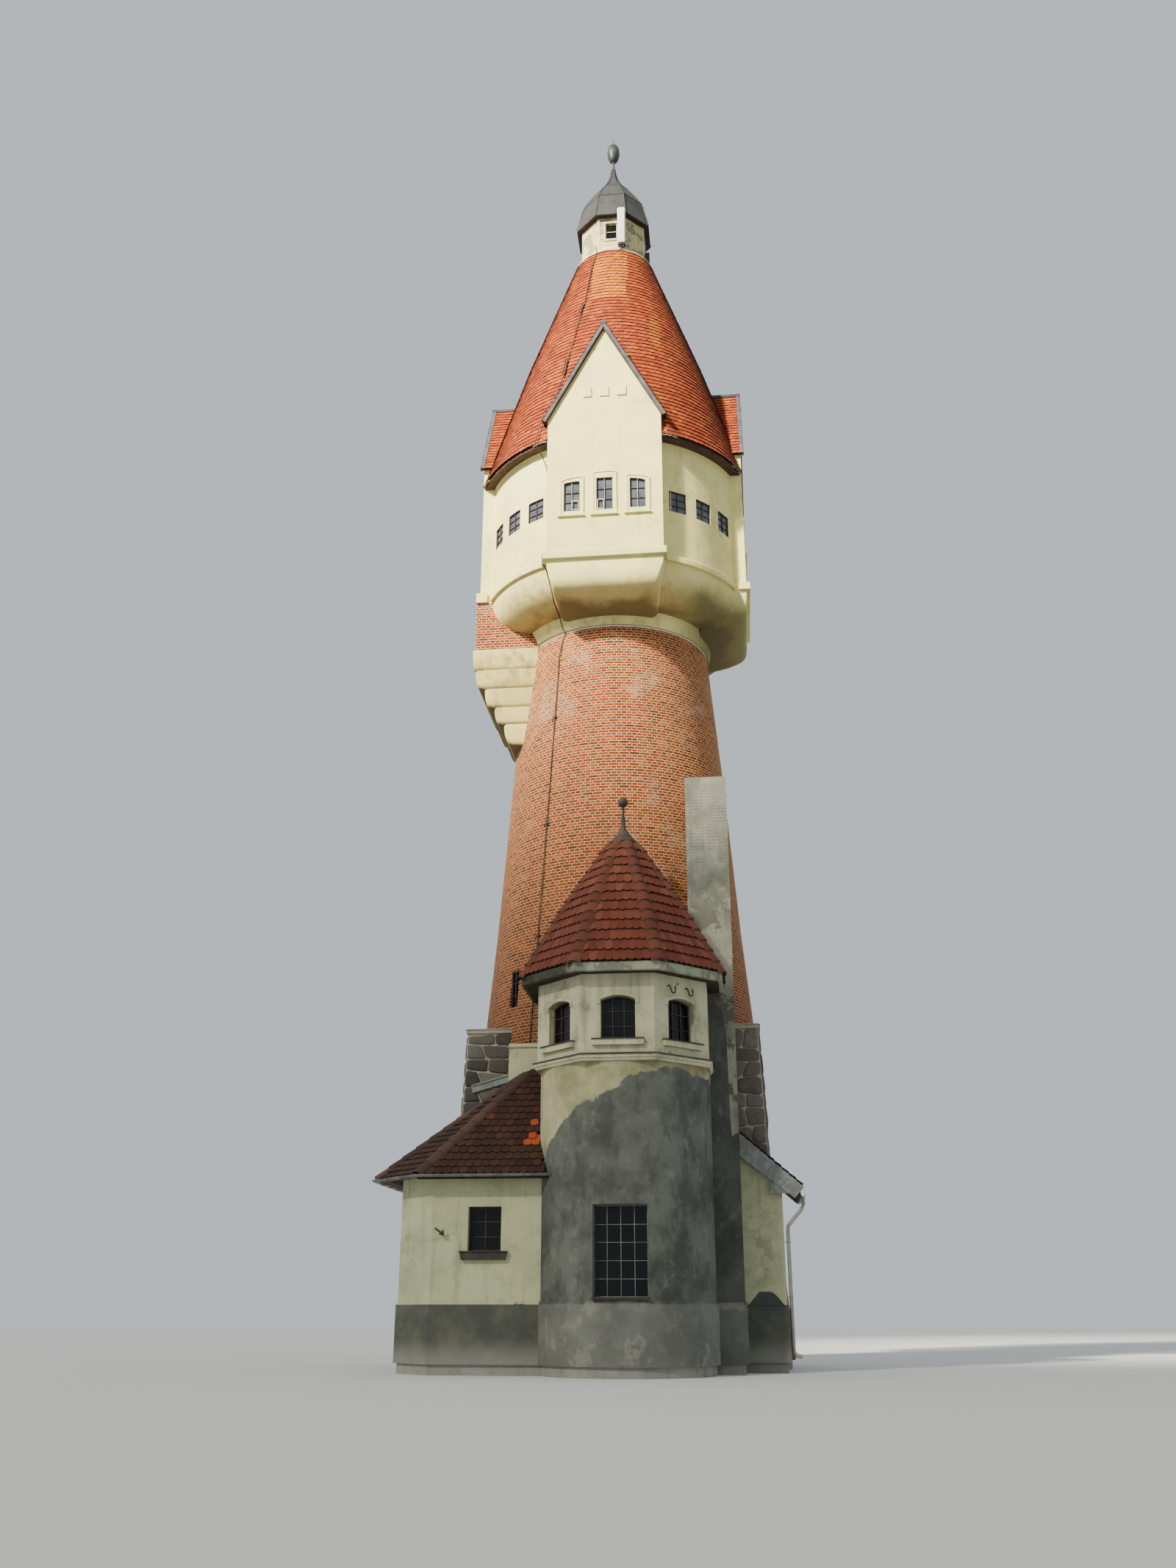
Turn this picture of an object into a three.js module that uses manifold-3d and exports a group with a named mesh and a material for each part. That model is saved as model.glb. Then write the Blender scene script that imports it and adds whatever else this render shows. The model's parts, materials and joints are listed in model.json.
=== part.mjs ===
// Brick water tower with a rendered head, four gabled bays, a tiled cone roof and a lantern.
// Millimetres, +Z up. The tower's axis is the Z axis, its foot is z = 0, the street front faces -Y.

import * as THREE from 'three';
import { ConvexGeometry } from 'three/addons/geometries/ConvexGeometry.js';
import { mergeVertices } from 'three/addons/utils/BufferGeometryUtils.js';
import Module from 'manifold-3d';

const wasm = await Module();
wasm.setup();

// Driving dimensions

const GAP = 0.3;               // between pieces that touch
const FACETS = 48;             // sides of every round wall of the tower

const SLAB_TOP = 200;
const FOOT = SLAB_TOP + GAP;   // where the walls start

const SHAFT_TOP = 17960;
const SHAFT_OUT = [[3980, FOOT], [3330, 8000], [3130, 10100], [2780, 14700], [2490, SHAFT_TOP]];
const SHAFT_IN = [[3400, FOOT], [2110, SHAFT_TOP]];

const DRUM_R = 3620;           // rendered head
const WALL = 380;
const DRUM_IN = DRUM_R - WALL;
const WALL_TOP = 22930;
const NECK_FOOT_R = 2520;      // rendered neck band, wider at its top
const NECK_TOP_R = 2645;
const NECK_TOP = 18340;
const COVE_TOP = 19320;
const STRING_TOP = 19530;
const FLOOR_TOP = 19400;

const BAY_HALF = 1525;         // gabled bays
const BAY_FACE = 3630;
const BAY_APEX = 26500;        // of the gable wall
const BAY_SLOPE = 1.9;
const VERGE_HALF = 1600;
const VERGE_APEX = 26660;
const VERGE_FOOT = 23600;

const EAVE_R = 3900;           // main roof
const ROOF_TOP = 31560;
const ROOF_TOP_R = 1150;

const LANTERN_A = 950;         // apothem of the lantern
const LANTERN_TOP = 32950;

const TX = 450;                // stair turret, centre
const TY = -4050;
const T_ROUND = 1850;
const T_FLAT = 1840;
const T_BELT = 1905;            // cornice
const T_EAVE = 2160;
const T_WALL = 340;
const T_CORNICE = 6060;
const T_UPPER = 6190;
const T_TOP = 7900;
const T_APEX = 11330;
const PLINTH = 1370;

const PIL_L = 1900;            // flue on the shaft's right front
const PIL_R = 2880;
const PIL_FACE = -3750;
const PIL_TOP = 13100;

const PIER_IN = 2200;          // fieldstone piers
const PIER_OUT = 3400;
const PIER_FACE = 2400;
const PIER_BACK = 900;
const PIER_TOP = 7340;
const PIER_BATTER = 300;       // over the pier's height

const ANNEX_FACE = -4700;      // tiled annex on the left
const ANNEX_EAVE = 3850;
const ANNEX_PITCH = { front: 1.2, left: 0.777, diagonal: 0.843 };

const WING_FACE = -2700;
const WING_BACK = -600;        // lean-to wing on the right
const WING_SIDE = 3770;
const WING_PITCH = 0.86;
const WING_END = 4170;

// Solids from three.js shapes

function solid(geometry) {
  const bare = geometry.clone();
  bare.deleteAttribute('normal');
  bare.deleteAttribute('uv');
  const merged = mergeVertices(bare, 1e-3);
  const pos = merged.attributes.position;
  const index = merged.index.array;
  const tris = [];
  let volume = 0;
  for (let i = 0; i < index.length; i += 3) {
    const [a, b, c] = [index[i], index[i + 1], index[i + 2]];
    if (a === b || b === c || a === c) continue;
    tris.push([a, b, c]);
    const p = new THREE.Vector3().fromBufferAttribute(pos, a);
    const q = new THREE.Vector3().fromBufferAttribute(pos, b);
    const r = new THREE.Vector3().fromBufferAttribute(pos, c);
    volume += p.dot(q.cross(r));
  }
  const triVerts = new Uint32Array(tris.flatMap(([a, b, c]) => (volume > 0 ? [a, b, c] : [a, c, b])));
  const vertProperties = new Float32Array(pos.array);
  return new wasm.Manifold(new wasm.Mesh({ numProp: 3, vertProperties, triVerts }));
}

function geometryOf(manifold, origin) {
  const mesh = manifold.getMesh();
  const geometry = new THREE.BufferGeometry();
  geometry.setAttribute('position', new THREE.BufferAttribute(Float32Array.from(mesh.vertProperties), 3));
  geometry.setIndex(new THREE.BufferAttribute(Uint32Array.from(mesh.triVerts), 1));
  geometry.translate(-origin[0], -origin[1], -origin[2]);
  geometry.computeVertexNormals();
  return geometry;
}

function box(x0, x1, y0, y1, z0, z1) {
  const g = new THREE.BoxGeometry(x1 - x0, y1 - y0, z1 - z0);
  g.translate((x0 + x1) / 2, (y0 + y1) / 2, (z0 + z1) / 2);
  return solid(g);
}

function shapeOf(points) {
  return new THREE.Shape(points.map(([a, b]) => new THREE.Vector2(a, b)));
}

// A plan outline raised from z0 to z1
function plan(points, z0, z1) {
  const g = new THREE.ExtrudeGeometry(shapeOf(points), { depth: z1 - z0, bevelEnabled: false });
  g.translate(0, 0, z0);
  return solid(g);
}

// An outline in X and Z, carried from y0 to y1
function alongY(points, y0, y1) {
  const g = new THREE.ExtrudeGeometry(shapeOf(points), { depth: y1 - y0, bevelEnabled: false });
  g.rotateX(Math.PI / 2);
  g.translate(0, y1, 0);
  return solid(g);
}

// An outline in Y and Z, carried from x0 to x1
function alongX(points, x0, x1) {
  const g = new THREE.ExtrudeGeometry(shapeOf(points), { depth: x1 - x0, bevelEnabled: false });
  g.rotateZ(Math.PI / 2);
  g.rotateY(Math.PI / 2);
  g.translate(x0, 0, 0);
  return solid(g);
}

// A profile of radius and height turned about the Z axis; it starts and ends on the axis or on itself
function turned(profile, sides = FACETS, turn = 0) {
  const g = new THREE.LatheGeometry(profile.map(([r, z]) => new THREE.Vector2(r, z)), sides);
  g.rotateX(Math.PI / 2);
  g.rotateZ(turn);
  return solid(g);
}

// A solid of revolution whose outer line is given from the bottom up
function spindle(line, sides = FACETS, turn = 0) {
  const first = [0, line[0][1]];
  const last = [0, line[line.length - 1][1]];
  return turned([first, ...line, last], sides, turn);
}

// The same with flat sides, given by their distance from the axis, one side facing -Y
function prismatic(line, sides = 8) {
  const k = 1 / Math.cos(Math.PI / sides);
  return spindle(line.map(([a, z]) => [a * k, z]), sides, Math.PI / sides);
}

function wider(line, by) {
  return line.map(([r, z]) => [r + by, z]);
}

function joined(list) {
  return list.reduce((a, b) => a.add(b));
}

function cut(body, ...tools) {
  return tools.reduce((a, b) => a.subtract(b), body);
}

// The largest body of a cut piece, without scraps behind the shaft
function largest(body) {
  return body.decompose().reduce((a, b) => (b.volume() > a.volume() ? b : a));
}

function quarterTurned(body, quarters) {
  return body.rotate([0, 0, 90 * quarters]);
}

// Window hole outline with a shallow arch; points in X and Z
function archOutline(half, sill, spring, rise) {
  const points = [[-half, sill], [half, sill]];
  const steps = 6;
  for (let i = 0; i <= steps; i += 1) {
    const t = 1 - (2 * i) / steps;
    points.push([half * t, spring + rise * (1 - t * t)]);
  }
  return points;
}

// The object

const part = new THREE.Group();
part.name = 'water_tower';

const look = {
  render: { color: 0xcfc3a4, roughness: 0.92, metalness: 0 },
  brick: { color: 0x8a4a38, roughness: 0.9, metalness: 0 },
  cement: { color: 0x83827a, roughness: 0.94, metalness: 0 },
  fieldstone: { color: 0x6f6861, roughness: 0.88, metalness: 0 },
  tile: { color: 0x9c4a30, roughness: 0.86, metalness: 0 },
  sheet: { color: 0x4a4a48, roughness: 0.5, metalness: 0.6 },
  timber: { color: 0xb9b8a8, roughness: 0.8, metalness: 0 },
  board: { color: 0x9aa19d, roughness: 0.75, metalness: 0 },
  concrete: { color: 0x8d8a83, roughness: 0.95, metalness: 0 },
  glass: { color: 0x20262a, roughness: 0.15, metalness: 0 },
  panel: { color: 0xd9dad6, roughness: 0.55, metalness: 0 },
};
const materials = {};
for (const [name, values] of Object.entries(look)) {
  materials[name] = new THREE.MeshStandardMaterial(values);
  materials[name].name = name;
}

function add(name, body, material, origin = [0, 0, 0]) {
  const mesh = new THREE.Mesh(geometryOf(body, origin), materials[material]);
  mesh.name = name;
  mesh.position.set(origin[0], origin[1], origin[2]);
  part.add(mesh);
}

// Hulls that other pieces are fitted against

const shaftHull = spindle([[SHAFT_OUT[0][0], 0], ...SHAFT_OUT]);
const shaftSeat = spindle([[SHAFT_OUT[0][0] + GAP, 0], ...wider(SHAFT_OUT, GAP)]);

const turretRoofLine = [[T_EAVE, T_TOP + GAP], [T_EAVE, 8080], [1290, 9700], [300, T_APEX]];
function turretHull(by) {
  const round = spindle([[T_ROUND + 40 + by, 0], [T_ROUND + 40 + by, PLINTH + by], [T_ROUND + by, PLINTH + 30 + 2 * by],
    [T_ROUND + by, T_CORNICE]], 32);
  const cornice = prismatic([[T_BELT + by, T_CORNICE - by], [T_BELT + by, T_UPPER + by]]);
  const upper = prismatic([[T_FLAT + by, T_UPPER - 1], [T_FLAT + by, T_TOP + 1]]);
  const roof = prismatic([[T_EAVE + by, T_TOP], [T_EAVE + by, 8080 + by], [1290 + by, 9700 + by], [300 + by, T_APEX + by]]);
  return joined([round, cornice, upper, roof]).translate([TX, TY, 0]);
}
const turretSeat = turretHull(GAP);

function pierBody(by) {
  const corners = [];
  for (const [z, lean] of [[FOOT - by, PIER_BATTER], [PIER_TOP, 0]]) {
    for (const x of [PIER_IN - by, PIER_OUT + lean + by]) {
      for (const y of [-PIER_FACE - lean - by, -PIER_BACK + by]) corners.push(new THREE.Vector3(x, y, z));
    }
  }
  const coping = box(PIER_IN - 40 - by, PIER_OUT + 40 + by, -PIER_FACE - 40 - by, -PIER_BACK + 40 + by,
    PIER_TOP - 1, PIER_TOP + 80 + by);
  return solid(new ConvexGeometry(corners)).add(coping);
}
function pierAt(sx, sy, by) {
  return pierBody(by).scale([sx, sy, 1]);
}

const pilasterBox = (by) => box(PIL_L - by, PIL_R + by, PIL_FACE - by, -2150 + by, FOOT - by, PIL_TOP + by)
  .add(box(PIL_L, PIL_R + 40 + by, PIL_FACE - 40 - by, -2190, FOOT - by, PLINTH + 10 + by));

const linkBox = (by) => box(-2310 - by, -1200, -3050 - by, -2200, FOOT, 6880)
  .add(box(-2310 - by, -1200, -3090 - by, -2200, 6879, 6960 + by));

// Ground floor

const annexPlan = [[-1200, -4670], [-3590, -4670], [-4420, -3840], [-4420, -1230], [-1200, -1230]];
const groundFloor = joined([
  spindle([[3900, 0], [3900, SLAB_TOP]]),
  spindle([[T_ROUND - 30, 0], [T_ROUND - 30, SLAB_TOP]], 32).translate([TX, TY, 0]),
  plan(annexPlan, 0, SLAB_TOP),
  box(2000, WING_SIDE - 30, WING_FACE + 30, WING_BACK - 30, 0, SLAB_TOP),
  box(PIL_L + 30, PIL_R - 30, PIL_FACE + 30, -2000, 0, SLAB_TOP),
]);
add('ground_floor', groundFloor, 'concrete');

// Brick shaft in four quarters; a slit window looks out at the left front

const shaftWall = turned([...SHAFT_IN, ...[...SHAFT_OUT].reverse(), SHAFT_IN[0]]);
const slit = box(-160, 160, -4200, -2200, 7950, 8850).rotate([0, 0, -45]);
const shaftRing = cut(shaftWall, slit);
const quarterNames = ['front_left', 'front_right', 'back_right', 'back_left'];
const quarterSigns = [[-1, -1], [1, -1], [1, 1], [-1, 1]];
quarterNames.forEach((name, i) => {
  const [sx, sy] = quarterSigns[i];
  const corner = box(Math.min(sx * 0.15, sx * 6000), Math.max(sx * 0.15, sx * 6000),
    Math.min(sy * 0.15, sy * 6000), Math.max(sy * 0.15, sy * 6000), 0, 20000);
  add(`shaft_wall_${name}`, shaftRing.intersect(corner), 'brick');
});

// Head: everything inside the inner line is room

const coveDrop = COVE_TOP - NECK_TOP;
function coveLine(top, foot) {
  const line = [];
  const steps = 10;
  for (let i = steps; i >= 0; i -= 1) {
    const a = (i / steps) * (Math.PI / 2);
    line.push([foot + (top - foot) * Math.cos(a), COVE_TOP - coveDrop * Math.sin(a)]);
  }
  return line;
}
const COVE_FOOT = 2690;
const headInside = spindle([[2120, SHAFT_TOP - 10], [3095, FLOOR_TOP], [DRUM_IN, FLOOR_TOP + 200], [DRUM_IN, 27000]]);

const neckLine = [[NECK_FOOT_R, SHAFT_TOP + GAP], [NECK_TOP_R, NECK_TOP - 1]];
const drumOutside = spindle([...neckLine, ...coveLine(DRUM_R, COVE_FOOT), [DRUM_R + 80, COVE_TOP],
  [DRUM_R + 80, STRING_TOP - 50], [DRUM_R, STRING_TOP], [DRUM_R, WALL_TOP]]);
const drumWindow = plan([[-260, -4200], [260, -4200], [260, -2800], [-260, -2800]], 20860, 21480);
const drumWall = cut(drumOutside, headInside, ...[-13.4, 0, 13.4].map((a) => drumWindow.rotate([0, 0, -45 + a])));
const besideBays = box(-6000, -BAY_HALF - GAP, -6000, -BAY_HALF - GAP, 0, 40000);
const drumQuarter = drumWall.intersect(besideBays);
['front_left', 'front_right', 'back_right', 'back_left'].forEach((name, i) => {
  add(`drum_wall_${name}`, quarterTurned(drumQuarter, i), 'render');
});

// Bays: a square front with a moulded foot, three windows and a gable

const bayWindows = [
  [[-215, 20750], [215, 20750], [215, 21720], [-215, 21720]],
  [[-1073, 20740], [-652, 20740], [-652, 21645], [-862, 21640], [-1073, 21600]],
  [[1078, 20760], [667, 20760], [667, 21660], [875, 21640], [1078, 21580]],
].map((outline) => alongY(outline, -4200, -3000));
const gableTop = (x) => BAY_APEX - GAP - BAY_SLOPE * Math.abs(x);
function bayBlock(z0) {
  return alongY([[-BAY_HALF, z0], [BAY_HALF, z0], [BAY_HALF, gableTop(BAY_HALF)], [0, gableTop(0)],
    [-BAY_HALF, gableTop(BAY_HALF)]], -BAY_FACE, -BAY_HALF - 6);
}
const bayRoom = alongY([[-BAY_HALF + WALL, FLOOR_TOP], [BAY_HALF - WALL, FLOOR_TOP], [BAY_HALF - WALL, 23700],
  [0, 25500], [-BAY_HALF + WALL, 23700]], -BAY_FACE + WALL, 0);
function stringCourse(z0, z1) {
  return box(-BAY_HALF, BAY_HALF, -BAY_FACE - 100, -3000, z0, z1)
    .add(box(-BAY_HALF - 75, BAY_HALF + 75, -BAY_FACE - 100, -BAY_FACE + 200, z0, z1));
}
// Rounded foot: distance from the axis, half width and height from its top down
const footLine = [[BAY_FACE, BAY_HALF, COVE_TOP + 1], [BAY_FACE, 1500, 19080], [3622, 1455, 18900], [3580, 1415, 18700],
  [3480, 1385, 18550], [3300, 1345, 18430], [3100, 1290, 18330], [2850, 1220, 18240], [2600, 1100, 18180]];
const footCorners = footLine.flatMap(([d, w, z]) => [[-w, -d, z], [w, -d, z], [-w, -BAY_HALF - 6, z], [w, -BAY_HALF - 6, z]]);
const bayFoot = solid(new ConvexGeometry(footCorners.map((p) => new THREE.Vector3(...p))));
const footRing = spindle([...neckLine, ...coveLine(DRUM_R - 20, COVE_FOOT), [DRUM_R - 20, COVE_TOP + 10]])
  .intersect(box(-BAY_HALF, BAY_HALF, -6000, -BAY_HALF - 6, 0, 30000));
const bay = cut(joined([bayBlock(COVE_TOP), stringCourse(COVE_TOP, STRING_TOP), bayFoot, footRing]), headInside, bayRoom,
  ...bayWindows);
add('bay_wall_front', bay, 'render');
add('bay_wall_right', quarterTurned(bay, 1), 'render');
add('bay_wall_back', quarterTurned(bay, 2), 'render');

// The left bay stands on brickwork and five rounded corbel courses

const LEFT_BASE = 19320;
const leftBay = cut(joined([bayBlock(LEFT_BASE), stringCourse(LEFT_BASE, LEFT_BASE + 290)]), headInside, bayRoom,
  ...bayWindows);
add('bay_wall_left', quarterTurned(leftBay, 3), 'render');

const BRICK_FOOT = 17890;
const leftBrick = cut(box(-BAY_HALF, BAY_HALF, -3720, -BAY_HALF - 6, BRICK_FOOT, LEFT_BASE - GAP), headInside, shaftSeat,
  spindle([[2120, BRICK_FOOT - 10], [2120, SHAFT_TOP]]));
add('left_bay_brickwork', quarterTurned(leftBrick, 3), 'brick');

const corbelSteps = [[2790, 15130], [2980, 15730], [3250, 16210], [3540, 16750], [3800, 17290], [3800, BRICK_FOOT - GAP]];
const corbelLine = [];
for (let i = 0; i < 5; i += 1) {
  const [face, z0] = corbelSteps[i];
  const z1 = corbelSteps[i + 1][1];
  const r = Math.min(150, (z1 - z0) / 2 - 1);
  corbelLine.push([-(face - r * 1.1), z0], [-(face - r * 0.4), z0 + r * 0.4], [-face, z0 + r * 1.2],
    [-face, z1 - r * 0.9], [-(face - r * 0.35), z1 - r * 0.25], [-(face - r * 0.9), z1]);
}
const corbel = cut(alongX([[-BAY_HALF - 1, 15130], ...corbelLine, [-BAY_HALF - 1, BRICK_FOOT - GAP]],
  -BAY_HALF - 20, BAY_HALF + 20), shaftSeat);
add('left_bay_corbel', quarterTurned(corbel, 3), 'render');

// Floor and glazing of the head

add('head_floor', spindle([[(3095 - 2120) * (19200 - SHAFT_TOP + 10) / (FLOOR_TOP - SHAFT_TOP + 10) + 2120 - 1, 19200],
  [3094, FLOOR_TOP]]), 'concrete');

function glazingPlan(inset) {
  const r = DRUM_IN - GAP - inset;
  const bx = BAY_HALF - WALL - GAP - inset;
  const by = BAY_FACE - WALL - GAP - inset;
  const points = [];
  for (let q = 0; q < 4; q += 1) {
    const quarter = [[-bx, -by], [bx, -by]];
    for (let a = 22.5; a <= 67.6; a += 7.5) {
      quarter.push([r * Math.sin(THREE.MathUtils.degToRad(a)), -r * Math.cos(THREE.MathUtils.degToRad(a))]);
    }
    const start = Math.sqrt(r * r - bx * bx);
    quarter[2] = [bx, -start + 8];
    quarter[quarter.length - 1] = [start - 8, -bx];
    for (const [x, y] of quarter) {
      points.push(new THREE.Vector2(x, y).rotateAround(new THREE.Vector2(0, 0), (q * Math.PI) / 2).toArray());
    }
  }
  return points;
}
const headGlazing = cut(plan(glazingPlan(0), 20690, 21790), plan(glazingPlan(12), 20600, 21900));
add('head_glazing', headGlazing, 'glass');

// Main roof in two halves, open under the gabled bays

const roofOuter = [[EAVE_R, WALL_TOP + GAP], [EAVE_R, WALL_TOP + 90], [2640, 27190], [ROOF_TOP_R, ROOF_TOP]];
const roofInner = [[3400, WALL_TOP - 10], [2330, 27190], [940, ROOF_TOP + 10]];
const roofShell = cut(spindle(roofOuter), spindle(roofInner));
const dormerClear = alongY([[-BAY_HALF - GAP, 22000], [BAY_HALF + GAP, 22000], [BAY_HALF + GAP, VERGE_FOOT - GAP],
  [VERGE_HALF + GAP, VERGE_FOOT - GAP], [0, VERGE_APEX + 2 * GAP], [-VERGE_HALF - GAP, VERGE_FOOT - GAP],
  [-BAY_HALF - GAP, VERGE_FOOT - GAP]], -5000, -1500);
const openRoof = cut(roofShell, ...[0, 1, 2, 3].map((q) => quarterTurned(dormerClear, q)));
const roofHalf = plan([[-9000, 8999.8], [-9000, -9000], [8999.8, -9000]], 20000, 33000);
add('main_roof_front', openRoof.intersect(roofHalf), 'tile');
add('main_roof_back', openRoof.intersect(roofHalf.rotate([0, 0, 180])), 'tile');

// Gable roofs of the bays

const dormerRoof = cut(
  alongY([[VERGE_HALF, VERGE_FOOT], [0, VERGE_APEX], [-VERGE_HALF, VERGE_FOOT], [-1526.3, VERGE_FOOT], [0, BAY_APEX],
    [1526.3, VERGE_FOOT]], -BAY_FACE - 70, -1500),
  spindle([[3400, WALL_TOP - 10], [2330, 27190]]),
);
['front', 'right', 'back', 'left'].forEach((name, q) => {
  add(`bay_roof_${name}`, quarterTurned(dormerRoof, q), 'tile');
});

// Lantern, cupola and finial

const lanternWindow = box(-185, 185, -1200, -700, 32130, 32740);
const lanternWall = cut(
  prismatic([[LANTERN_A, ROOF_TOP + GAP], [LANTERN_A, LANTERN_TOP]]),
  prismatic([[LANTERN_A - 120, ROOF_TOP - 10], [LANTERN_A - 120, LANTERN_TOP + 10]]),
  ...[0, 1, 2, 3].map((q) => quarterTurned(lanternWindow, q)),
);
add('lantern_wall', lanternWall, 'timber');
add('lantern_glazing', cut(
  prismatic([[LANTERN_A - 120 - GAP, 32080], [LANTERN_A - 120 - GAP, 32790]]),
  prismatic([[LANTERN_A - 130, 32000], [LANTERN_A - 130, 32900]]),
), 'glass');
add('lantern_floor', spindle([[938, ROOF_TOP - 60], [930, ROOF_TOP]]), 'timber');

const cupolaOuter = [[1130, LANTERN_TOP + GAP], [1130, LANTERN_TOP + 60], [1015, 33510], [925, 33930], [725, 34340],
  [465, 34780], [260, 35100], [150, 35360], [75, 35670], [45, 35880]];
const cupolaInner = [[870, LANTERN_TOP - 10], [850, 33500], [780, 33850], [600, 34200], [330, 34650], [60, 34900]];
add('cupola', cut(prismatic(cupolaOuter), prismatic(cupolaInner)), 'sheet');
add('finial', spindle([[40, 35880 + GAP], [40, 36140], [90, 36160], [165, 36280], [200, 36500], [170, 36700],
  [95, 36830], [30, 36880], [12, 37100]], 16), 'sheet');

const antenna = joined([
  box(210, 450, -1300, -1190, 31690, 33030),
  box(300, 360, -1191, -LANTERN_A - GAP, 32000, 32060),
  box(300, 360, -1191, -LANTERN_A - GAP, 32820, 32880),
]);
add('panel_antenna', antenna, 'panel');

// Stair turret: round below, eight-sided above the cornice

const turretRound = spindle([[T_ROUND + 40, FOOT], [T_ROUND + 40, PLINTH], [T_ROUND, PLINTH + 30],
  [T_ROUND, T_CORNICE - GAP]], 32);
const turretRoundRoom = spindle([[T_ROUND - T_WALL, 0], [T_ROUND - T_WALL, T_CORNICE + 10]], 32);
const turretGroundWindow = box(-540, 560, -2400, -1200, 1460, 3210);
const lower = cut(cut(turretRound, turretRoundRoom, turretGroundWindow).translate([TX, TY, 0]), shaftSeat);
const leftOfTurret = box(-6000, TX - 0.15, -9000, 0, 0, 20000);
const rightOfTurret = box(TX + 0.15, 6000, -9000, 0, 0, 20000);
add('turret_lower_wall_left', lower.intersect(leftOfTurret), 'cement');
add('turret_lower_wall_right', lower.intersect(rightOfTurret), 'cement');

const cornice = cut(cut(
  prismatic([[T_BELT - 40, T_CORNICE], [T_BELT, T_CORNICE + 50], [T_BELT, T_UPPER - GAP]]),
  spindle([[T_ROUND - T_WALL, 6000], [T_ROUND - T_WALL, 6300]], 32),
).translate([TX, TY, 0]), shaftSeat);
add('turret_cornice', cornice, 'render');
const turretFloor = cut(
  spindle([[T_ROUND - T_WALL - GAP, T_CORNICE], [T_ROUND - T_WALL - GAP, T_UPPER - GAP]], 32).translate([TX, TY, 0]),
  shaftSeat,
);
add('turret_floor', turretFloor, 'concrete');

const turretWindow = alongY(archOutline(365, 6500, 7330, 90), -2400, -1300);
const turretSill = box(-540, 540, -T_FLAT - 90, -T_FLAT + 20, 6370, 6500);
const turretUpper = cut(
  joined([prismatic([[T_FLAT, T_UPPER], [T_FLAT, T_TOP]]), ...[-45, 0, 45].map((a) => turretSill.rotate([0, 0, a]))]),
  prismatic([[T_FLAT - 300, T_UPPER - 10], [T_FLAT - 300, T_TOP + 10]]),
  ...[-45, 0, 45].map((a) => turretWindow.rotate([0, 0, a])),
);
const upper = cut(turretUpper.translate([TX, TY, 0]), shaftSeat);
add('turret_upper_wall_left', upper.intersect(leftOfTurret), 'render');
add('turret_upper_wall_right', upper.intersect(rightOfTurret), 'render');

const frontHalf = box(-6000, 6000, -9000, TY - 450, 0, 20000);
add('turret_ground_glazing', cut(
  spindle([[T_ROUND - T_WALL - GAP, 1400], [T_ROUND - T_WALL - GAP, 3270]], 32),
  spindle([[T_ROUND - T_WALL - 12, 1300], [T_ROUND - T_WALL - 12, 3300]], 32),
).translate([TX, TY, 0]).intersect(box(-180, 1130, -9000, TY, 0, 9000)), 'glass');
add('turret_upper_glazing', cut(
  prismatic([[T_FLAT - 300 - GAP, 6450], [T_FLAT - 300 - GAP, 7460]]),
  prismatic([[T_FLAT - 312, 6300], [T_FLAT - 312, 7600]]),
).translate([TX, TY, 0]).intersect(frontHalf), 'glass');

const turretRoof = cut(cut(
  prismatic(turretRoofLine),
  prismatic([[T_FLAT - 300, T_TOP - 10], [T_FLAT - 300, 8100], [1070, 9600], [120, 11100]]),
).translate([TX, TY, 0]), shaftSeat);
add('turret_roof', turretRoof, 'tile');
add('turret_finial', prismatic([[330, T_APEX + GAP], [335, T_APEX + 60], [110, T_APEX + 330], [32, T_APEX + 420],
  [26, 12270], [85, 12310], [120, 12400], [85, 12490], [15, 12540]]).translate([TX, TY, 0]), 'sheet');

// Flue pier on the shaft, with a thicker foot

const pilaster = cut(pilasterBox(0), shaftSeat, turretSeat);
add('flue_pier', pilaster, 'cement');
const flueSeat = pilasterBox(GAP);

// Fieldstone piers

const wingTop = (x) => 4910 - WING_PITCH * (x - 2881);
const WING_ROOF = 240;
function wingShell(by) {
  return cut(
    joined([
      alongY([[1500, FOOT - by], [WING_SIDE + by, FOOT - by], [WING_SIDE + by, wingTop(WING_SIDE) - WING_ROOF],
        [1500, wingTop(1500) - WING_ROOF]], WING_FACE - by, WING_BACK + by),
      box(1500, WING_SIDE + 40 + by, WING_FACE - 40 - by, WING_BACK + 40 + by, FOOT - by, PLINTH - 60 + by),
    ]),
    box(0, WING_SIDE - 300 - by, WING_FACE + 300 + by, WING_BACK - 300 - by, 0, 8000),
  );
}
quarterNames.forEach((name, i) => {
  const [sx, sy] = quarterSigns[i];
  add(`stone_pier_${name}`, cut(pierAt(sx, -sy, 0), shaftSeat, flueSeat, wingShell(GAP)), 'fieldstone');
});
const pierSeats = quarterSigns.map(([sx, sy]) => pierAt(sx, -sy, GAP));

add('link_wall', cut(linkBox(0), shaftSeat, turretSeat), 'render');
const linkSeat = linkBox(GAP);

// Annex: three walls and a hipped roof

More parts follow.
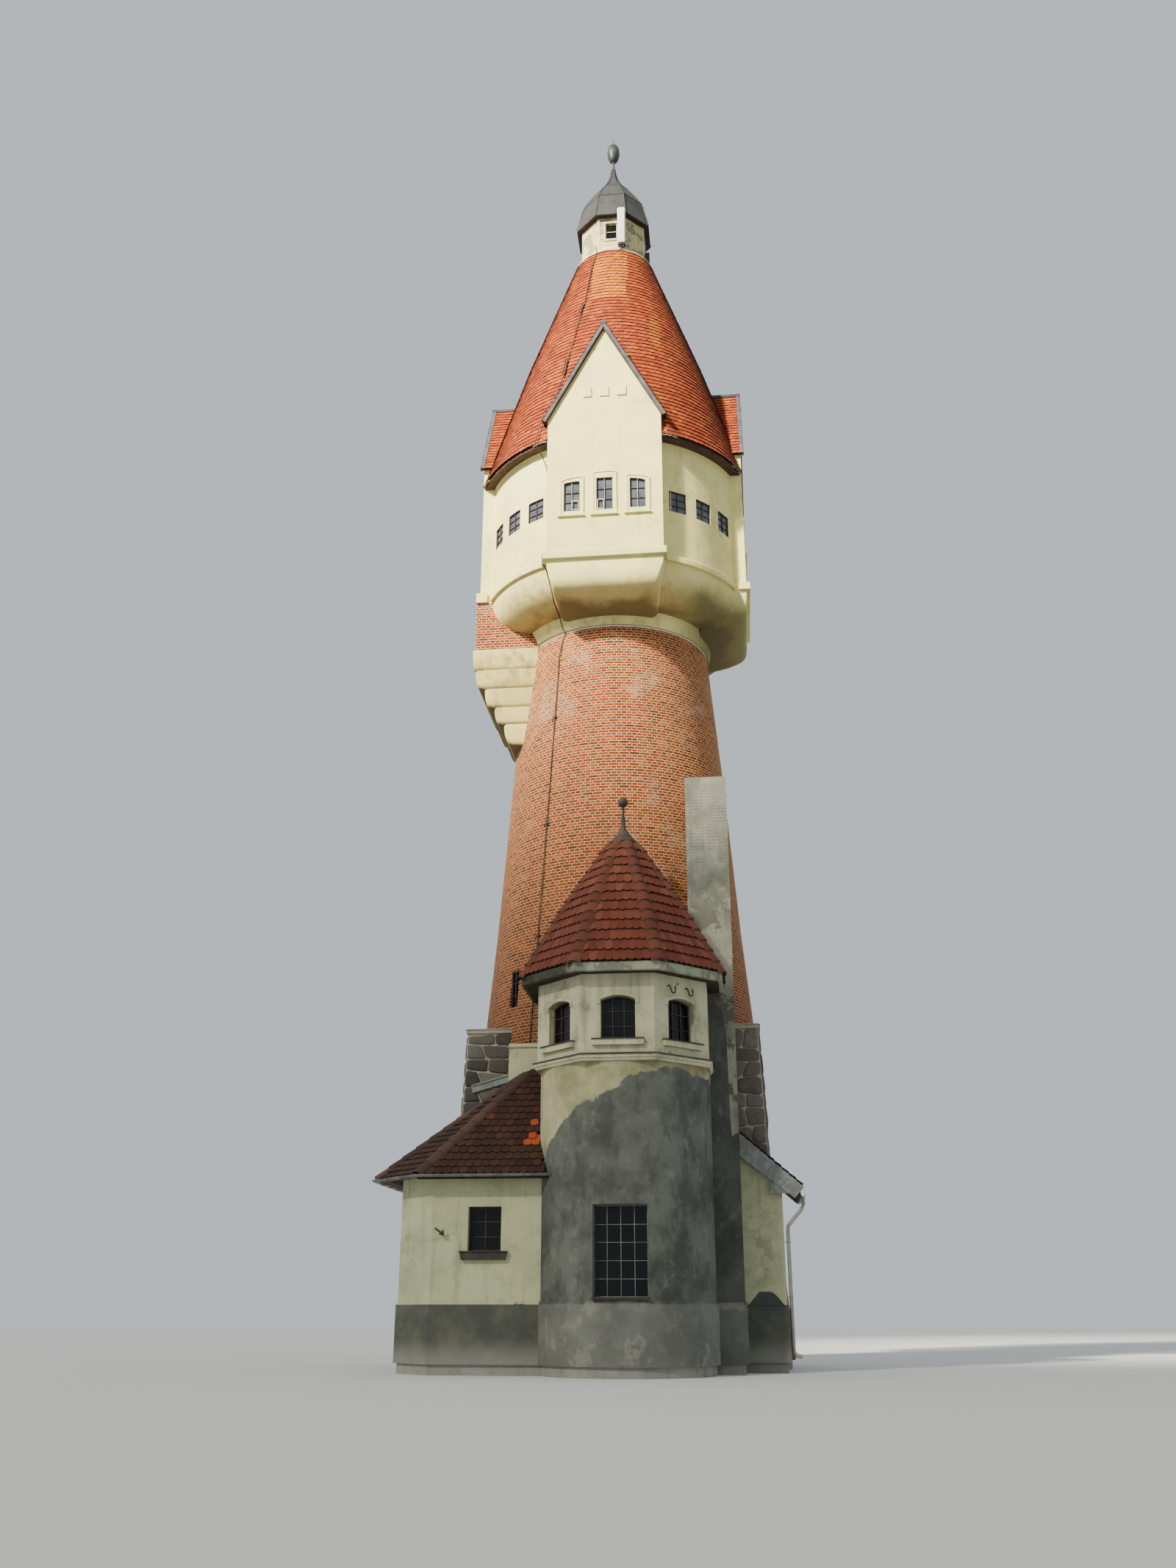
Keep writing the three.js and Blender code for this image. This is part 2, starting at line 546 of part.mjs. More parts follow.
function annexOutline(inset) {
  const i = inset;
  return [[-1200, ANNEX_FACE + i], [-3600 + 0.414 * i, ANNEX_FACE + i], [-4450 + i, -3850 + 0.414 * i],
    [-4450 + i, -1200 - i], [-1200, -1200 - i]];
}
const roofPlanes = (drop) => {
  const front = alongX([[-5080, ANNEX_EAVE - drop], [-900, ANNEX_EAVE - drop],
    [-900, ANNEX_EAVE - drop + ANNEX_PITCH.front * 4180]], -6000, -1000);
  const left = alongY([[-5000, ANNEX_EAVE - drop], [-900, ANNEX_EAVE - drop],
    [-900, ANNEX_EAVE - drop + ANNEX_PITCH.left * 4100]], -6000, -1120);
  const corner = alongX([[0, ANNEX_EAVE - drop], [8000, ANNEX_EAVE - drop],
    [8000, ANNEX_EAVE - drop + ANNEX_PITCH.diagonal * 8000]], -6000, 6000)
    .rotate([0, 0, -45]).translate([-4425, -4505, 0]);
  return front.intersect(left).intersect(corner);
};
const annexRoofSolid = roofPlanes(0);
const underRoof = plan([[-9000, -9000], [0, -9000], [0, 0], [-9000, 0]], 0, ANNEX_EAVE - GAP)
  .add(roofPlanes(190 + GAP));
const annexWall = cut(
  joined([plan(annexOutline(0), FOOT, 7000), plan(annexOutline(-40), FOOT, PLINTH)]),
  plan(annexOutline(300), 0, 8000),
  box(-2825, -2125, -6000, -4000, 2370, 3260),
);
add('annex_wall', cut(annexWall.intersect(underRoof), shaftSeat, turretSeat, pierSeats[0], linkSeat), 'render');
const annexRoof = cut(annexRoofSolid.add(plan([[-1000, -5080], [-3850, -5080], [-5000, -3930], [-5000, -1120],
  [-1000, -1120]], ANNEX_EAVE, ANNEX_EAVE + 60)), roofPlanes(190), shaftSeat, turretSeat, pierSeats[0], linkSeat);
add('annex_roof', largest(annexRoof), 'tile');
add('annex_glazing', box(-2880, -2070, -4700 + 300 + GAP, -4700 + 312, 2310, 3320), 'glass');

function gutterStrip(a, b, z0, z1) {
  const o = [[-900, -5080 - a], [-3850 - 0.414 * a, -5080 - a], [-5000 - a, -3930 - 0.414 * a], [-5000 - a, -1300]];
  const i = [[-5000 - b, -1300], [-5000 - b, -3930 - 0.414 * b], [-3850 - 0.414 * b, -5080 - b], [-900, -5080 - b]];
  return plan([...o, ...i], z0, z1);
}
const annexGutter = cut(gutterStrip(GAP, 120, 3800, 3905), gutterStrip(9, 112, 3809, 4000), turretSeat);
add('annex_gutter', annexGutter, 'sheet');

// Lean-to wing

const wingSlab = (by) => alongY([[1500, wingTop(1500) - WING_ROOF - by], [WING_END, wingTop(WING_END) - WING_ROOF - by],
  [WING_END, wingTop(WING_END)], [1500, wingTop(1500)]], WING_FACE - 100, WING_BACK + 100);
add('wing_wall', largest(cut(wingShell(0), wingSlab(GAP), shaftSeat, flueSeat)), 'render');
const wingRoof = cut(wingSlab(0), shaftSeat, flueSeat, pierSeats[1], pierSeats[2]);
add('wing_roof', wingRoof, 'tile');
const barge = joined([
  alongY([[PIL_R + 1, wingTop(PIL_R + 1) + 20], [4250, wingTop(4250) + 20], [4035, 3525], [PIL_R + 1, 4410]],
    WING_FACE - 160, WING_FACE - 100 - GAP),
  box(3530, 4000, WING_FACE - 130, WING_FACE - 100 - GAP, 3625, 3860),
]);
add('wing_barge_board', largest(cut(barge, shaftSeat, pierSeats[1])), 'board');
const wingGutter = cut(box(WING_END + GAP, WING_END + 115, WING_FACE - 100, WING_BACK + 100, 3530, 3635),
  box(WING_END + 9, WING_END + 106, WING_FACE - 91, WING_BACK + 91, 3539, 3800));
add('wing_gutter', wingGutter, 'sheet');

function rod(a, b, radius) {
  const from = new THREE.Vector3(...a);
  const to = new THREE.Vector3(...b);
  const g = new THREE.CylinderGeometry(radius, radius, from.distanceTo(to), 10);
  g.applyQuaternion(new THREE.Quaternion().setFromUnitVectors(new THREE.Vector3(0, 1, 0),
    to.clone().sub(from).normalize()));
  g.translate((a[0] + b[0]) / 2, (a[1] + b[1]) / 2, (a[2] + b[2]) / 2);
  return solid(g);
}
const pipeX = WING_SIDE + 90;
const pipeY = WING_FACE + 100;
const downspout = joined([
  rod([pipeX, pipeY, 430], [pipeX, pipeY, 2920], 42),
  rod([pipeX, pipeY, 2900], [4228, pipeY, 3285], 42),
  rod([4228, pipeY, 3270], [4228, pipeY, 3530 - GAP], 42),
  rod([pipeX, pipeY, 445], [pipeX + 110, pipeY, 350], 42),
  box(WING_SIDE + GAP, pipeX, pipeY - 15, pipeY + 15, 2600, 2640),
  box(WING_SIDE + GAP, pipeX, pipeY - 15, pipeY + 15, 1700, 1740),
]);
add('downspout', downspout, 'sheet');

export default part;
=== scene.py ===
import json
import random
from math import asin, copysign, cos, degrees, floor, hypot, pi, radians, sin, sqrt, tan

import bmesh
import bpy
from mathutils import Matrix, Vector
from mathutils.geometry import tessellate_polygon

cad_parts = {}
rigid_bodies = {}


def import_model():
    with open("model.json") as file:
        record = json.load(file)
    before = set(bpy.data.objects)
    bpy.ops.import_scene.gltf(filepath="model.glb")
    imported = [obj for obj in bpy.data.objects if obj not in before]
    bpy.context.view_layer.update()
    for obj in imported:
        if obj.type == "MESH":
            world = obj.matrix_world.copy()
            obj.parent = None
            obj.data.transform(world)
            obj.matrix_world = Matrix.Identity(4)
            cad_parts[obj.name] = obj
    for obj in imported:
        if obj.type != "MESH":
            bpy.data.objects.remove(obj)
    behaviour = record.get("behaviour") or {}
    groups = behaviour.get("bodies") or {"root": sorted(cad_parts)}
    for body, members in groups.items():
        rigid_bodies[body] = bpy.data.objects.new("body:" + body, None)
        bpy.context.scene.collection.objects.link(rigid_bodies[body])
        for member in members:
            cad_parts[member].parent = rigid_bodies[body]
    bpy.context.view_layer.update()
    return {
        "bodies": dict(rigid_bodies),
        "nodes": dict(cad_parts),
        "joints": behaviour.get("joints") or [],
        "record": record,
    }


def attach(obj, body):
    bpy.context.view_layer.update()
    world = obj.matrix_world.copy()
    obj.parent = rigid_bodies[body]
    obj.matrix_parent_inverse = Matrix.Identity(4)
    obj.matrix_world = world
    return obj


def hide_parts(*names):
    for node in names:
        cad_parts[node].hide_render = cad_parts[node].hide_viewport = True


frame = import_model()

dice = random.Random(7)


def link(thing):
    bpy.context.scene.collection.objects.link(thing)


# Camera, floor and light

def make_camera():
    turn, pitch, roll = (radians(a) for a in (6.15, 21.1, -0.05))
    right, ahead, up = Vector((cos(turn), sin(turn), 0)), Vector((-sin(turn), cos(turn), 0)), Vector((0, 0, 1))
    look = cos(pitch) * ahead + sin(pitch) * up
    top = cos(pitch) * up - sin(pitch) * ahead
    right, top = cos(roll) * right - sin(roll) * top, sin(roll) * right + cos(roll) * top
    data = bpy.data.cameras.new("camera")
    data.sensor_fit = "HORIZONTAL"
    data.sensor_width = 36
    data.lens = 42.075
    data.clip_end = 2000
    camera = bpy.data.objects.new("camera", data)
    place = Matrix((right, top, -look)).transposed().to_4x4()
    place.translation = (2.887, -34.379, 1.15)
    camera.matrix_world = place
    link(camera)
    bpy.context.scene.camera = camera


def make_light():
    side, climb = radians(37), radians(33)
    towards = Vector((-sin(side), -cos(side), tan(climb))).normalized()
    for name, kind, energy, place, settings in (
            ("key", "SUN", 1.5, Vector((0, 0, 0)), {"angle": radians(3)}),
            ("head_spot", "SPOT", 1050000, Vector((0, 0, 26)) + towards * 70,
             {"spot_size": radians(25), "spot_blend": 1, "shadow_soft_size": 2})):
        data = bpy.data.lights.new(name, kind)
        data.energy = energy
        data.color = (1, 0.95, 0.79)
        for key, value in settings.items():
            setattr(data, key, value)
        lamp = bpy.data.objects.new(name, data)
        lamp.location = place
        lamp.rotation_euler = towards.to_track_quat("Z", "Y").to_euler()
        link(lamp)
    world = bpy.data.worlds.new("studio")
    world.use_nodes = True
    sky = world.node_tree.nodes["Background"].inputs
    sky["Color"].default_value = (0.84, 0.92, 1, 1)
    sky["Strength"].default_value = 0.72
    bpy.context.scene.world = world


# Materials. Every place in them is in metres in the building's frame.

def linear(colour):
    """A linear colour from sRGB values of 0 to 255."""
    return tuple(c / 3294.6 if c <= 10.3 else ((c / 255 + 0.055) / 1.055) ** 2.4 for c in colour) + (1,)


class Value:
    """A node's output. Sums and comparisons with it add Math nodes."""

    def __init__(self, look, socket):
        self.look, self.socket = look, socket


def operator(name):
    return lambda *values: values[0].look.math(name, *values)


def swapped(name):
    return lambda a, b: a.look.math(name, b, a)


for sign, name in (("add", "ADD"), ("sub", "SUBTRACT"), ("mul", "MULTIPLY"), ("truediv", "DIVIDE")):
    setattr(Value, f"__{sign}__", operator(name))
    setattr(Value, f"__r{sign}__", swapped(name))
for sign, name in (("mod", "MODULO"), ("gt", "GREATER_THAN"), ("lt", "LESS_THAN"), ("abs", "ABSOLUTE"),
                   ("floor", "FLOOR"), ("round", "ROUND")):
    setattr(Value, f"__{sign}__", operator(name))


class Look:
    """A material. Colours are sRGB from 0 to 255, and noises are (scale, detail, roughness)."""

    def __init__(self, name, roughness=0.9, metallic=0, specular=0.3):
        self.material = bpy.data.materials.new(name)
        self.material.use_nodes = True
        self.tree = self.material.node_tree
        self.shader = self.tree.nodes["Principled BSDF"].inputs
        self.shader["Roughness"].default_value = roughness
        self.shader["Metallic"].default_value = metallic
        self.shader["Specular IOR Level"].default_value = specular
        self.place = self.fill("ShaderNodeTexCoord", out="Object")

    def feed(self, socket, value):
        if isinstance(value, Value):
            self.tree.links.new(value.socket, socket)
        else:
            socket.default_value = linear(value) if isinstance(value, tuple) else value

    def fill(self, kind, inputs=None, out=0, **settings):
        """A new node. inputs: values by the name or the number of the socket."""
        made = self.tree.nodes.new(kind)
        for key, value in settings.items():
            setattr(made, key, value)
        for key, value in (inputs or {}).items():
            self.feed(made.inputs[key], value)
        return Value(self, made.outputs[out])

    def math(self, operation, *values):
        return self.fill("ShaderNodeMath", dict(enumerate(values)), operation=operation)

    def fract(self, value):
        return self.math("FRACT", value)

    def top(self, a, b):
        return self.math("MAXIMUM", a, b)

    def low(self, a, b):
        return self.math("MINIMUM", a, b)

    def split(self, vector=None):
        vector = vector or self.place
        return tuple(self.fill("ShaderNodeSeparateXYZ", {0: vector}, out=i) for i in range(3))

    def scaled(self, x, y, z):
        made = self.fill("ShaderNodeVectorMath", {0: self.place}, operation="MULTIPLY")
        made.socket.node.inputs[1].default_value = (x, y, z)
        return made

    def noise(self, scale, detail=4, roughness=0.55, at=None):
        return self.fill("ShaderNodeTexNoise", {"Vector": at or self.place, "Scale": scale, "Detail": detail,
                                                "Roughness": roughness, "Distortion": 0})

    def dice(self, *values):
        """A random number for whole numbers that name a brick."""
        vector = self.fill("ShaderNodeCombineXYZ", dict(enumerate(values)))
        return self.fill("ShaderNodeTexWhiteNoise", {"Vector": vector}, out="Value", noise_dimensions="3D")

    def ramp(self, value, low, high, start=0, end=1, kind="SMOOTHSTEP"):
        return self.fill("ShaderNodeMapRange", dict(enumerate((value, low, high, start, end))), interpolation_type=kind)

    def blotch(self, colour, other, noise, low, high, start=0, end=1, at=None):
        """The colour, turning into another where a noise is high."""
        return self.mix(self.ramp(self.noise(*noise, at=at), low, high, start, end), colour, other)

    def mix(self, amount, a, b):
        return self.fill("ShaderNodeMix", {0: amount, 6: a, 7: b}, out=2, data_type="RGBA")

    def palette(self, value, stops):
        made = self.fill("ShaderNodeValToRGB", {0: value})
        ramp = made.socket.node.color_ramp
        while len(ramp.elements) < len(stops):
            ramp.elements.new(0.5)
        for element, (at, colour) in zip(ramp.elements, stops):
            element.position = at
            element.color = linear(colour) if len(colour) == 3 else colour
        return made

    def tone(self):
        return self.fill("ShaderNodeAttribute", out="Fac", attribute_name="tone")

    def normal(self):
        return self.split(self.fill("ShaderNodeNewGeometry", out="Normal"))

    def bump(self, height, distance, strength=1):
        return self.fill("ShaderNodeBump", {"Strength": strength, "Distance": distance, "Height": height})

    def done(self, colour, normal=None, roughness=None):
        for name, value in (("Base Color", colour), ("Normal", normal), ("Roughness", roughness)):
            if value:
                self.feed(self.shader[name], value)
        return self.material


COURSE = 0.077  # from bed joint to bed joint
BRICK = 0.26  # a brick with its joint


def brick_look(name, on_round_wall):
    k = Look(name, 0.92)
    x, y, z = k.split()
    course = floor(z / COURSE)
    header = course % 2
    shifted = abs(course % 4 - 2) < 0.5
    if on_round_wall:
        level = (course + 0.5) * COURSE
        radius = 3.98
        for z0, z1, less in ((0.2, 8, 0.65), (8, 10.1, 0.2), (10.1, 14.7, 0.35), (14.7, 17.96, 0.29)):
            radius = radius - k.ramp(level, z0, z1, 0, less, 'LINEAR')
        count = round(radius * (2 * pi / BRICK))
        turns = k.math("ARCTAN2", x, y * -1) / (2 * pi)
        along = turns * count
    else:
        nx, ny, nz = k.normal()
        faces_x = abs(nx) > 0.5
        along = (y * faces_x + x * (1 - faces_x)) / BRICK
    along = (along + shifted * 0.5) * (header + 1) + header * 0.5
    unit = floor(along)
    within = along - unit
    rise = z / COURSE - course
    side = k.low(within, 1 - within) * (BRICK / (header + 1))
    bed = k.low(rise, 1 - rise) * COURSE
    edge = k.low(side, bed)
    rough_edge = edge - k.noise(60, 3) * 0.006
    joint = 1 - k.ramp(rough_edge, 0.0025, 0.0065)
    each = k.dice(unit, course, header)
    colour = k.palette(each, ((0, (84, 36, 20)), (0.1, (118, 50, 24)), (0.45, (138, 56, 24)),
                              (0.8, (154, 70, 30)), (1, (168, 94, 52))))
    colour = k.blotch(colour, (104, 52, 38), (22, 5), 0.35, 0.8, 0, 0.35)
    mortar = k.mix(k.noise(9, 4), (228, 200, 136), (198, 168, 112))
    colour = k.mix(joint, colour, mortar)
    white = k.ramp(k.noise(0.6, 6, 0.65), 0.54, 0.74) * k.ramp(k.noise(13, 4), 0.35, 0.7, 0.2, 1)
    high = k.ramp(z + x * 1.4, 9, 19.5, 0.12, 0.9)
    colour = k.mix(white * high, colour, (202, 186, 162))
    # Soot blotches, strongest low down, and painted shade darken the lower shaft.
    soot_and_painted_shade = k.ramp(k.noise(0.4, 6, 0.6, at=k.scaled(1, 1, 0.35)), 0.42, 0.74, 0, 0.7)
    low = k.ramp(z, 4, 14, 1, 0.15)
    colour = k.mix(soot_and_painted_shade * low, colour, (76, 54, 48))
    # Painted shade over the lower shaft.
    shade = k.ramp(z + k.noise(0.35, 4) * 3, 6, 16.5, 0.6, 0)
    colour = k.mix(shade, colour, (76, 44, 38))
    if on_round_wall:
        colour = k.mix(k.ramp(z + k.noise(8, 3) * 0.03, 17.92, 17.93), colour, (226, 220, 200))
    return k.done(colour, k.bump(joint * -1 + k.noise(45, 5) * 0.35, 0.006))


def render_look(name, clean, dirty, grime, age=0.5, foot=None, swell=False, rolled=False):
    """Weathered plaster: cloudy colour, run-down streaks, and undersides darkened by grime and painted shade. foot:
    height and colour of a plinth;
    swell: grime and painted shade on the bays' feet, moss and painted shade on the right-hand side; rolled: painted
    shade under each roll."""
    k = Look(name, 0.93)
    nx, ny, nz = k.normal()
    colour = k.blotch(clean, dirty, (0.8, 7, 0.62), 0.38, 0.72)
    colour = k.blotch(colour, grime, (2.4, 6, 0.6), 0.52, 0.78, 0, 0.6 * age, at=k.scaled(1.6, 1.6, 0.16))
    colour = k.blotch(colour, grime, (11, 5, 0.7), 0.6, 0.74, 0, 0.5 * age)
    stain = k.ramp(k.noise(0.55, 7, 0.7), 0.48, 0.64) * k.ramp(k.noise(5, 5, 0.7), 0.38, 0.62)
    colour = k.mix(stain * (0.6 * age), colour, grime)
    # Undersides are darkened: grime, together with painted shade.
    under = k.ramp(nz, -0.45, -1) * k.ramp(k.noise(1.7, 6, 0.65), 0.25, 0.7, 0.35, 1)
    colour = k.mix(under * (0.25 + 0.5 * age), colour, grime)
    # Painted shade on the down-facing lower part of each roll.
    if rolled:
        colour = k.mix(k.ramp(nz, -0.2, -0.75, 0, 0.8), colour, (84, 68, 44))
    cells = k.fill("ShaderNodeTexVoronoi", {"Vector": k.scaled(1, 1, 0.6), "Scale": 0.55}, out="Distance",
                   feature="DISTANCE_TO_EDGE")
    crack = k.ramp(cells, 0, 0.012, 1, 0) * k.ramp(k.noise(0.7, 3), 0.5, 0.6)
    colour = k.mix(crack * (0.3 * age), colour, grime)
    grain = k.noise(3, 6, 0.6) + k.noise(70, 4, 0.7) * 0.3
    z = k.split()[2]
    if swell:
        # Grime and painted shade on the feet's undersides: a mid-brown zone, then a dark band at the bottom.
        level = z + (k.noise(1.4, 6, 0.6) - 0.5) * 0.4
        below = k.top(z > 18.338, nz < -0.5)
        colour = k.mix(below * k.ramp(level, 18.85, 18.42, 0, 0.5), colour, (186, 150, 80))
        colour = k.mix(below * k.ramp(level, 18.46, 18.26, 0, 0.75), colour, (84, 64, 40))
        # Moss and painted shade darken the right-hand side.
        moss_and_painted_shade = k.ramp(k.split()[0], 1.4, 2.6) * k.ramp(level, 19.25, 18.6)
        colour = k.mix(moss_and_painted_shade * 0.8, colour, (88, 84, 54))
    if foot:
        top, shade = foot
        flaked = top + k.ramp(k.noise(1.6, 6, 0.62), 0.58, 0.72, 0, 0.35)
        off = abs(k.split()[0] + k.noise(3, 5) * 0.2 - 3.42)
        flaked = k.top(flaked, top + k.ramp(off, 0.42, 0.1, 0, 0.27))
        plinth = k.blotch(shade, grime, (1.1, 7, 0.66), 0.4, 0.68)
        plinth = k.mix(k.ramp(z, 0.2, 0.75, 0.6, 0), plinth, (150, 148, 138))
        colour = k.mix(k.ramp(flaked - z, -0.008, 0.008), colour, plinth)
    return k.done(colour, k.bump(grain, 0.012, 0.7))


def tile_look(name, stops, moss, yellow=None):
    k = Look(name, 0.85, specular=0.25)
    # Edge faces carry a tone above 1.5. They are painted dark as the shade under each row.
    rim = k.tone() > 1.5
    colour = k.palette(k.tone() - rim * 2, stops)
    colour = k.blotch(colour, stops[0][1], (26, 5, 0.65), 0.35, 0.75, 0, 0.4)
    if yellow:
        x, y, z = k.split()
        patch = k.ramp(k.noise(0.8, 6, 0.7), 0.52, 0.72) * k.ramp(z, 25, 30.5, 0.1, 0.45)
        frayed = (k.noise(5, 4) - 0.5) * 0.22
        for x0, x1, z0, z1, most in ((-0.54, 0.5, 28.95, 31.25, 0.85), (1.18, 1.5, 26.8, 28.35, 0.5)):
            u, v = x + frayed, z + frayed
            block = (u > x0) * (u < x1) * ((v > z0) * (v < z1)) * (y < 0)
            patch = k.top(patch, block * k.ramp(k.noise(3.5, 6, 0.7), 0.38, 0.58, most * 0.3, most))
        colour = k.mix(patch, colour, yellow)
    old = k.ramp(k.noise(1.1, 6, 0.65), 0.5, 0.75) * k.ramp(k.noise(18, 4), 0.35, 0.65, 0.3, 1)
    colour = k.mix(old * 0.6, colour, moss)
    # Painted shade on the tiles' edge faces.
    colour = k.mix(rim * 0.9, colour, (34, 20, 16))
    return k.done(colour, k.bump(k.noise(40, 5, 0.6), 0.004, 0.8))


def metal_look(name, base, worn, roughness, metallic):
    k = Look(name, roughness, metallic, 0.5)
    colour = k.blotch(base, worn, (2.2, 7, 0.65), 0.35, 0.7)
    colour = k.blotch(colour, worn, (3, 5, 0.6), 0.5, 0.75, 0, 0.6, at=k.scaled(3, 3, 0.4))
    shine = k.ramp(k.noise(6, 5), 0.3, 0.7, roughness - 0.12, roughness + 0.15)
    return k.done(colour, k.bump(k.noise(5, 5), 0.01, 0.5), shine)


def paint_look(name, paint, bare, amount, black_left_of=None):
    """Old paint that peels off a grey board. The last argument, if given, is an x: to the left of it the paint turns
    black.
    """
    k = Look(name, 0.8)
    grain = k.noise(3, 6, 0.6, at=k.scaled(9, 9, 0.8))
    board = k.mix(grain, bare, (112, 106, 94))
    peel = k.ramp(k.noise(2.6, 7, 0.7) + k.noise(14, 5) * 0.22, 0.6, 0.66)
    colour = k.mix(peel * amount, paint, board)
    colour = k.blotch(colour, (150, 150, 128), (1.2, 5), 0.45, 0.75, 0, 0.3)
    if black_left_of is not None:
        x = k.split()[0] + k.noise(5, 5) * 0.3
        colour = k.mix(k.ramp(x, black_left_of + 0.2, black_left_of - 0.1, 0, 0.85), colour, (26, 22, 18))
    return k.done(colour, k.bump(grain * 0.4 - peel, 0.004))


def patched_look(name, wall, patch, foot, boundary, centre, grime, ghost=False):
    """Pale render with cement patches. boundary: for angles in degrees round the centre, the height up to which
    the cement reaches."""
    k = Look(name, 0.93)
    x, y, z = k.split()
    angle = k.math("ARCTAN2", x - centre[0], centre[1] - y)
    first, last = boundary[0][0], boundary[-1][0]
    share = k.ramp(angle, radians(first), radians(last), kind="LINEAR")
    tops = [((a - first) / (last - first), (h / 20, h / 20, h / 20, 1)) for a, h in boundary]
    edge = k.palette(share, tops) * 20
    ragged = (k.noise(2.4, 6, 0.6) - 0.5) * 0.5
    inside = k.ramp(edge + ragged - z, -0.03, 0.03)
    pale = k.blotch(wall, grime, (0.9, 6, 0.62), 0.36, 0.7)
    pale = k.blotch(pale, grime, (3, 6, 0.6), 0.5, 0.8, 0, 0.6, at=k.scaled(1.5, 1.5, 0.2))
    grey = k.blotch(patch, foot, (1, 7, 0.65), 0.35, 0.7)
    grey = k.blotch(grey, (138, 137, 124), (3.5, 6, 0.65), 0.52, 0.74, 0, 0.45)
    grey = k.blotch(grey, foot, (1.6, 7, 0.7), 0.5, 0.62, 0, 0.55, at=k.scaled(1.3, 1.3, 0.6))
    if ghost:
        blotch = k.ramp(k.noise(1.25, 7, 0.72, at=k.scaled(1.2, 1.2, 0.8)), 0.525, 0.55)
        pale = k.mix(blotch * k.ramp(z, 8, 11.5, 0.9, 0.3), pale, (84, 84, 74))
        rise = k.fract(z / COURSE)
        bond = k.fract(x / BRICK + floor(z / COURSE) % 2 * 0.5)
        joints = k.top(rise < 0.2, bond < 0.06)
        shown = k.ramp(z, 10.6, 12.6, 0.05, 0.5) * k.ramp(k.noise(2.2, 5), 0.35, 0.6)
        pale = k.mix(joints * shown, pale, (206, 204, 190))
        # Painted shade darkens the top of the flue.
        pale = k.mix(k.ramp(z, 11, 13, 0, 0.35), pale, (120, 116, 104))
    colour = k.mix(inside, pale, grey)
    low = z + k.noise(1.3, 6, 0.6) * 0.9
    colour = k.mix(k.ramp(low, 0.4, 1.5, 0.4, 0), colour, foot)
    colour = k.mix(k.ramp(z, 1.36, 1.32, 0, 0.3), colour, (140, 140, 130))
    worn = k.ramp(k.noise(1.2, 7, 0.7), 0.53, 0.6) * k.ramp(z, 1.42, 1.36)
    colour = k.mix(worn * 0.6, colour, (140, 138, 124))
    grain = k.noise(4, 6, 0.65) + k.noise(60, 4, 0.7) * 0.35
    return k.done(colour, k.bump(grain + inside * 0.5, 0.014, 0.8))


def stone_look():
    k = Look("fieldstone", 0.88)
    colour = k.palette(k.tone(), ((0, (60, 56, 52)), (0.3, (88, 82, 76)), (0.55, (112, 98, 88)),
                                  (0.75, (98, 98, 94)), (1, (126, 118, 108))))
    colour = k.blotch(colour, (76, 72, 66), (6, 6, 0.65), 0.35, 0.75, 0, 0.55)
    colour = k.blotch(colour, (168, 158, 146), (34, 4, 0.7), 0.58, 0.75, 0, 0.5)
    return k.done(colour, k.bump(k.noise(24, 6, 0.65), 0.01))


def glass_look(name, clear, dusty, specular=0.6):
    k = Look(name, 0.12, specular=specular)
    colour = k.blotch(clear, dusty, (1.8, 5), 0.35, 0.75)
    return k.done(colour, k.bump(k.noise(0.9, 3), 0.02, 0.4), k.ramp(k.noise(5, 4), 0.3, 0.7, 0.06, 0.3))


def panel_look():
    k = Look("panel", 0.5)
    colour = k.mix(k.ramp(k.noise(3, 5, at=k.scaled(2, 2, 0.3)), 0.4, 0.75, 0, 0.5), (206, 204, 192), (160, 158, 146))
    return k.done(colour, k.bump(k.noise(30, 3), 0.002, 0.4), k.ramp(k.noise(8, 3), 0.3, 0.7, 0.42, 0.6))


def floor_look():
    k = Look("floor", 0.95)
    return k.done(k.mix(k.noise(0.3), (222, 220, 214), (216, 214, 209)))


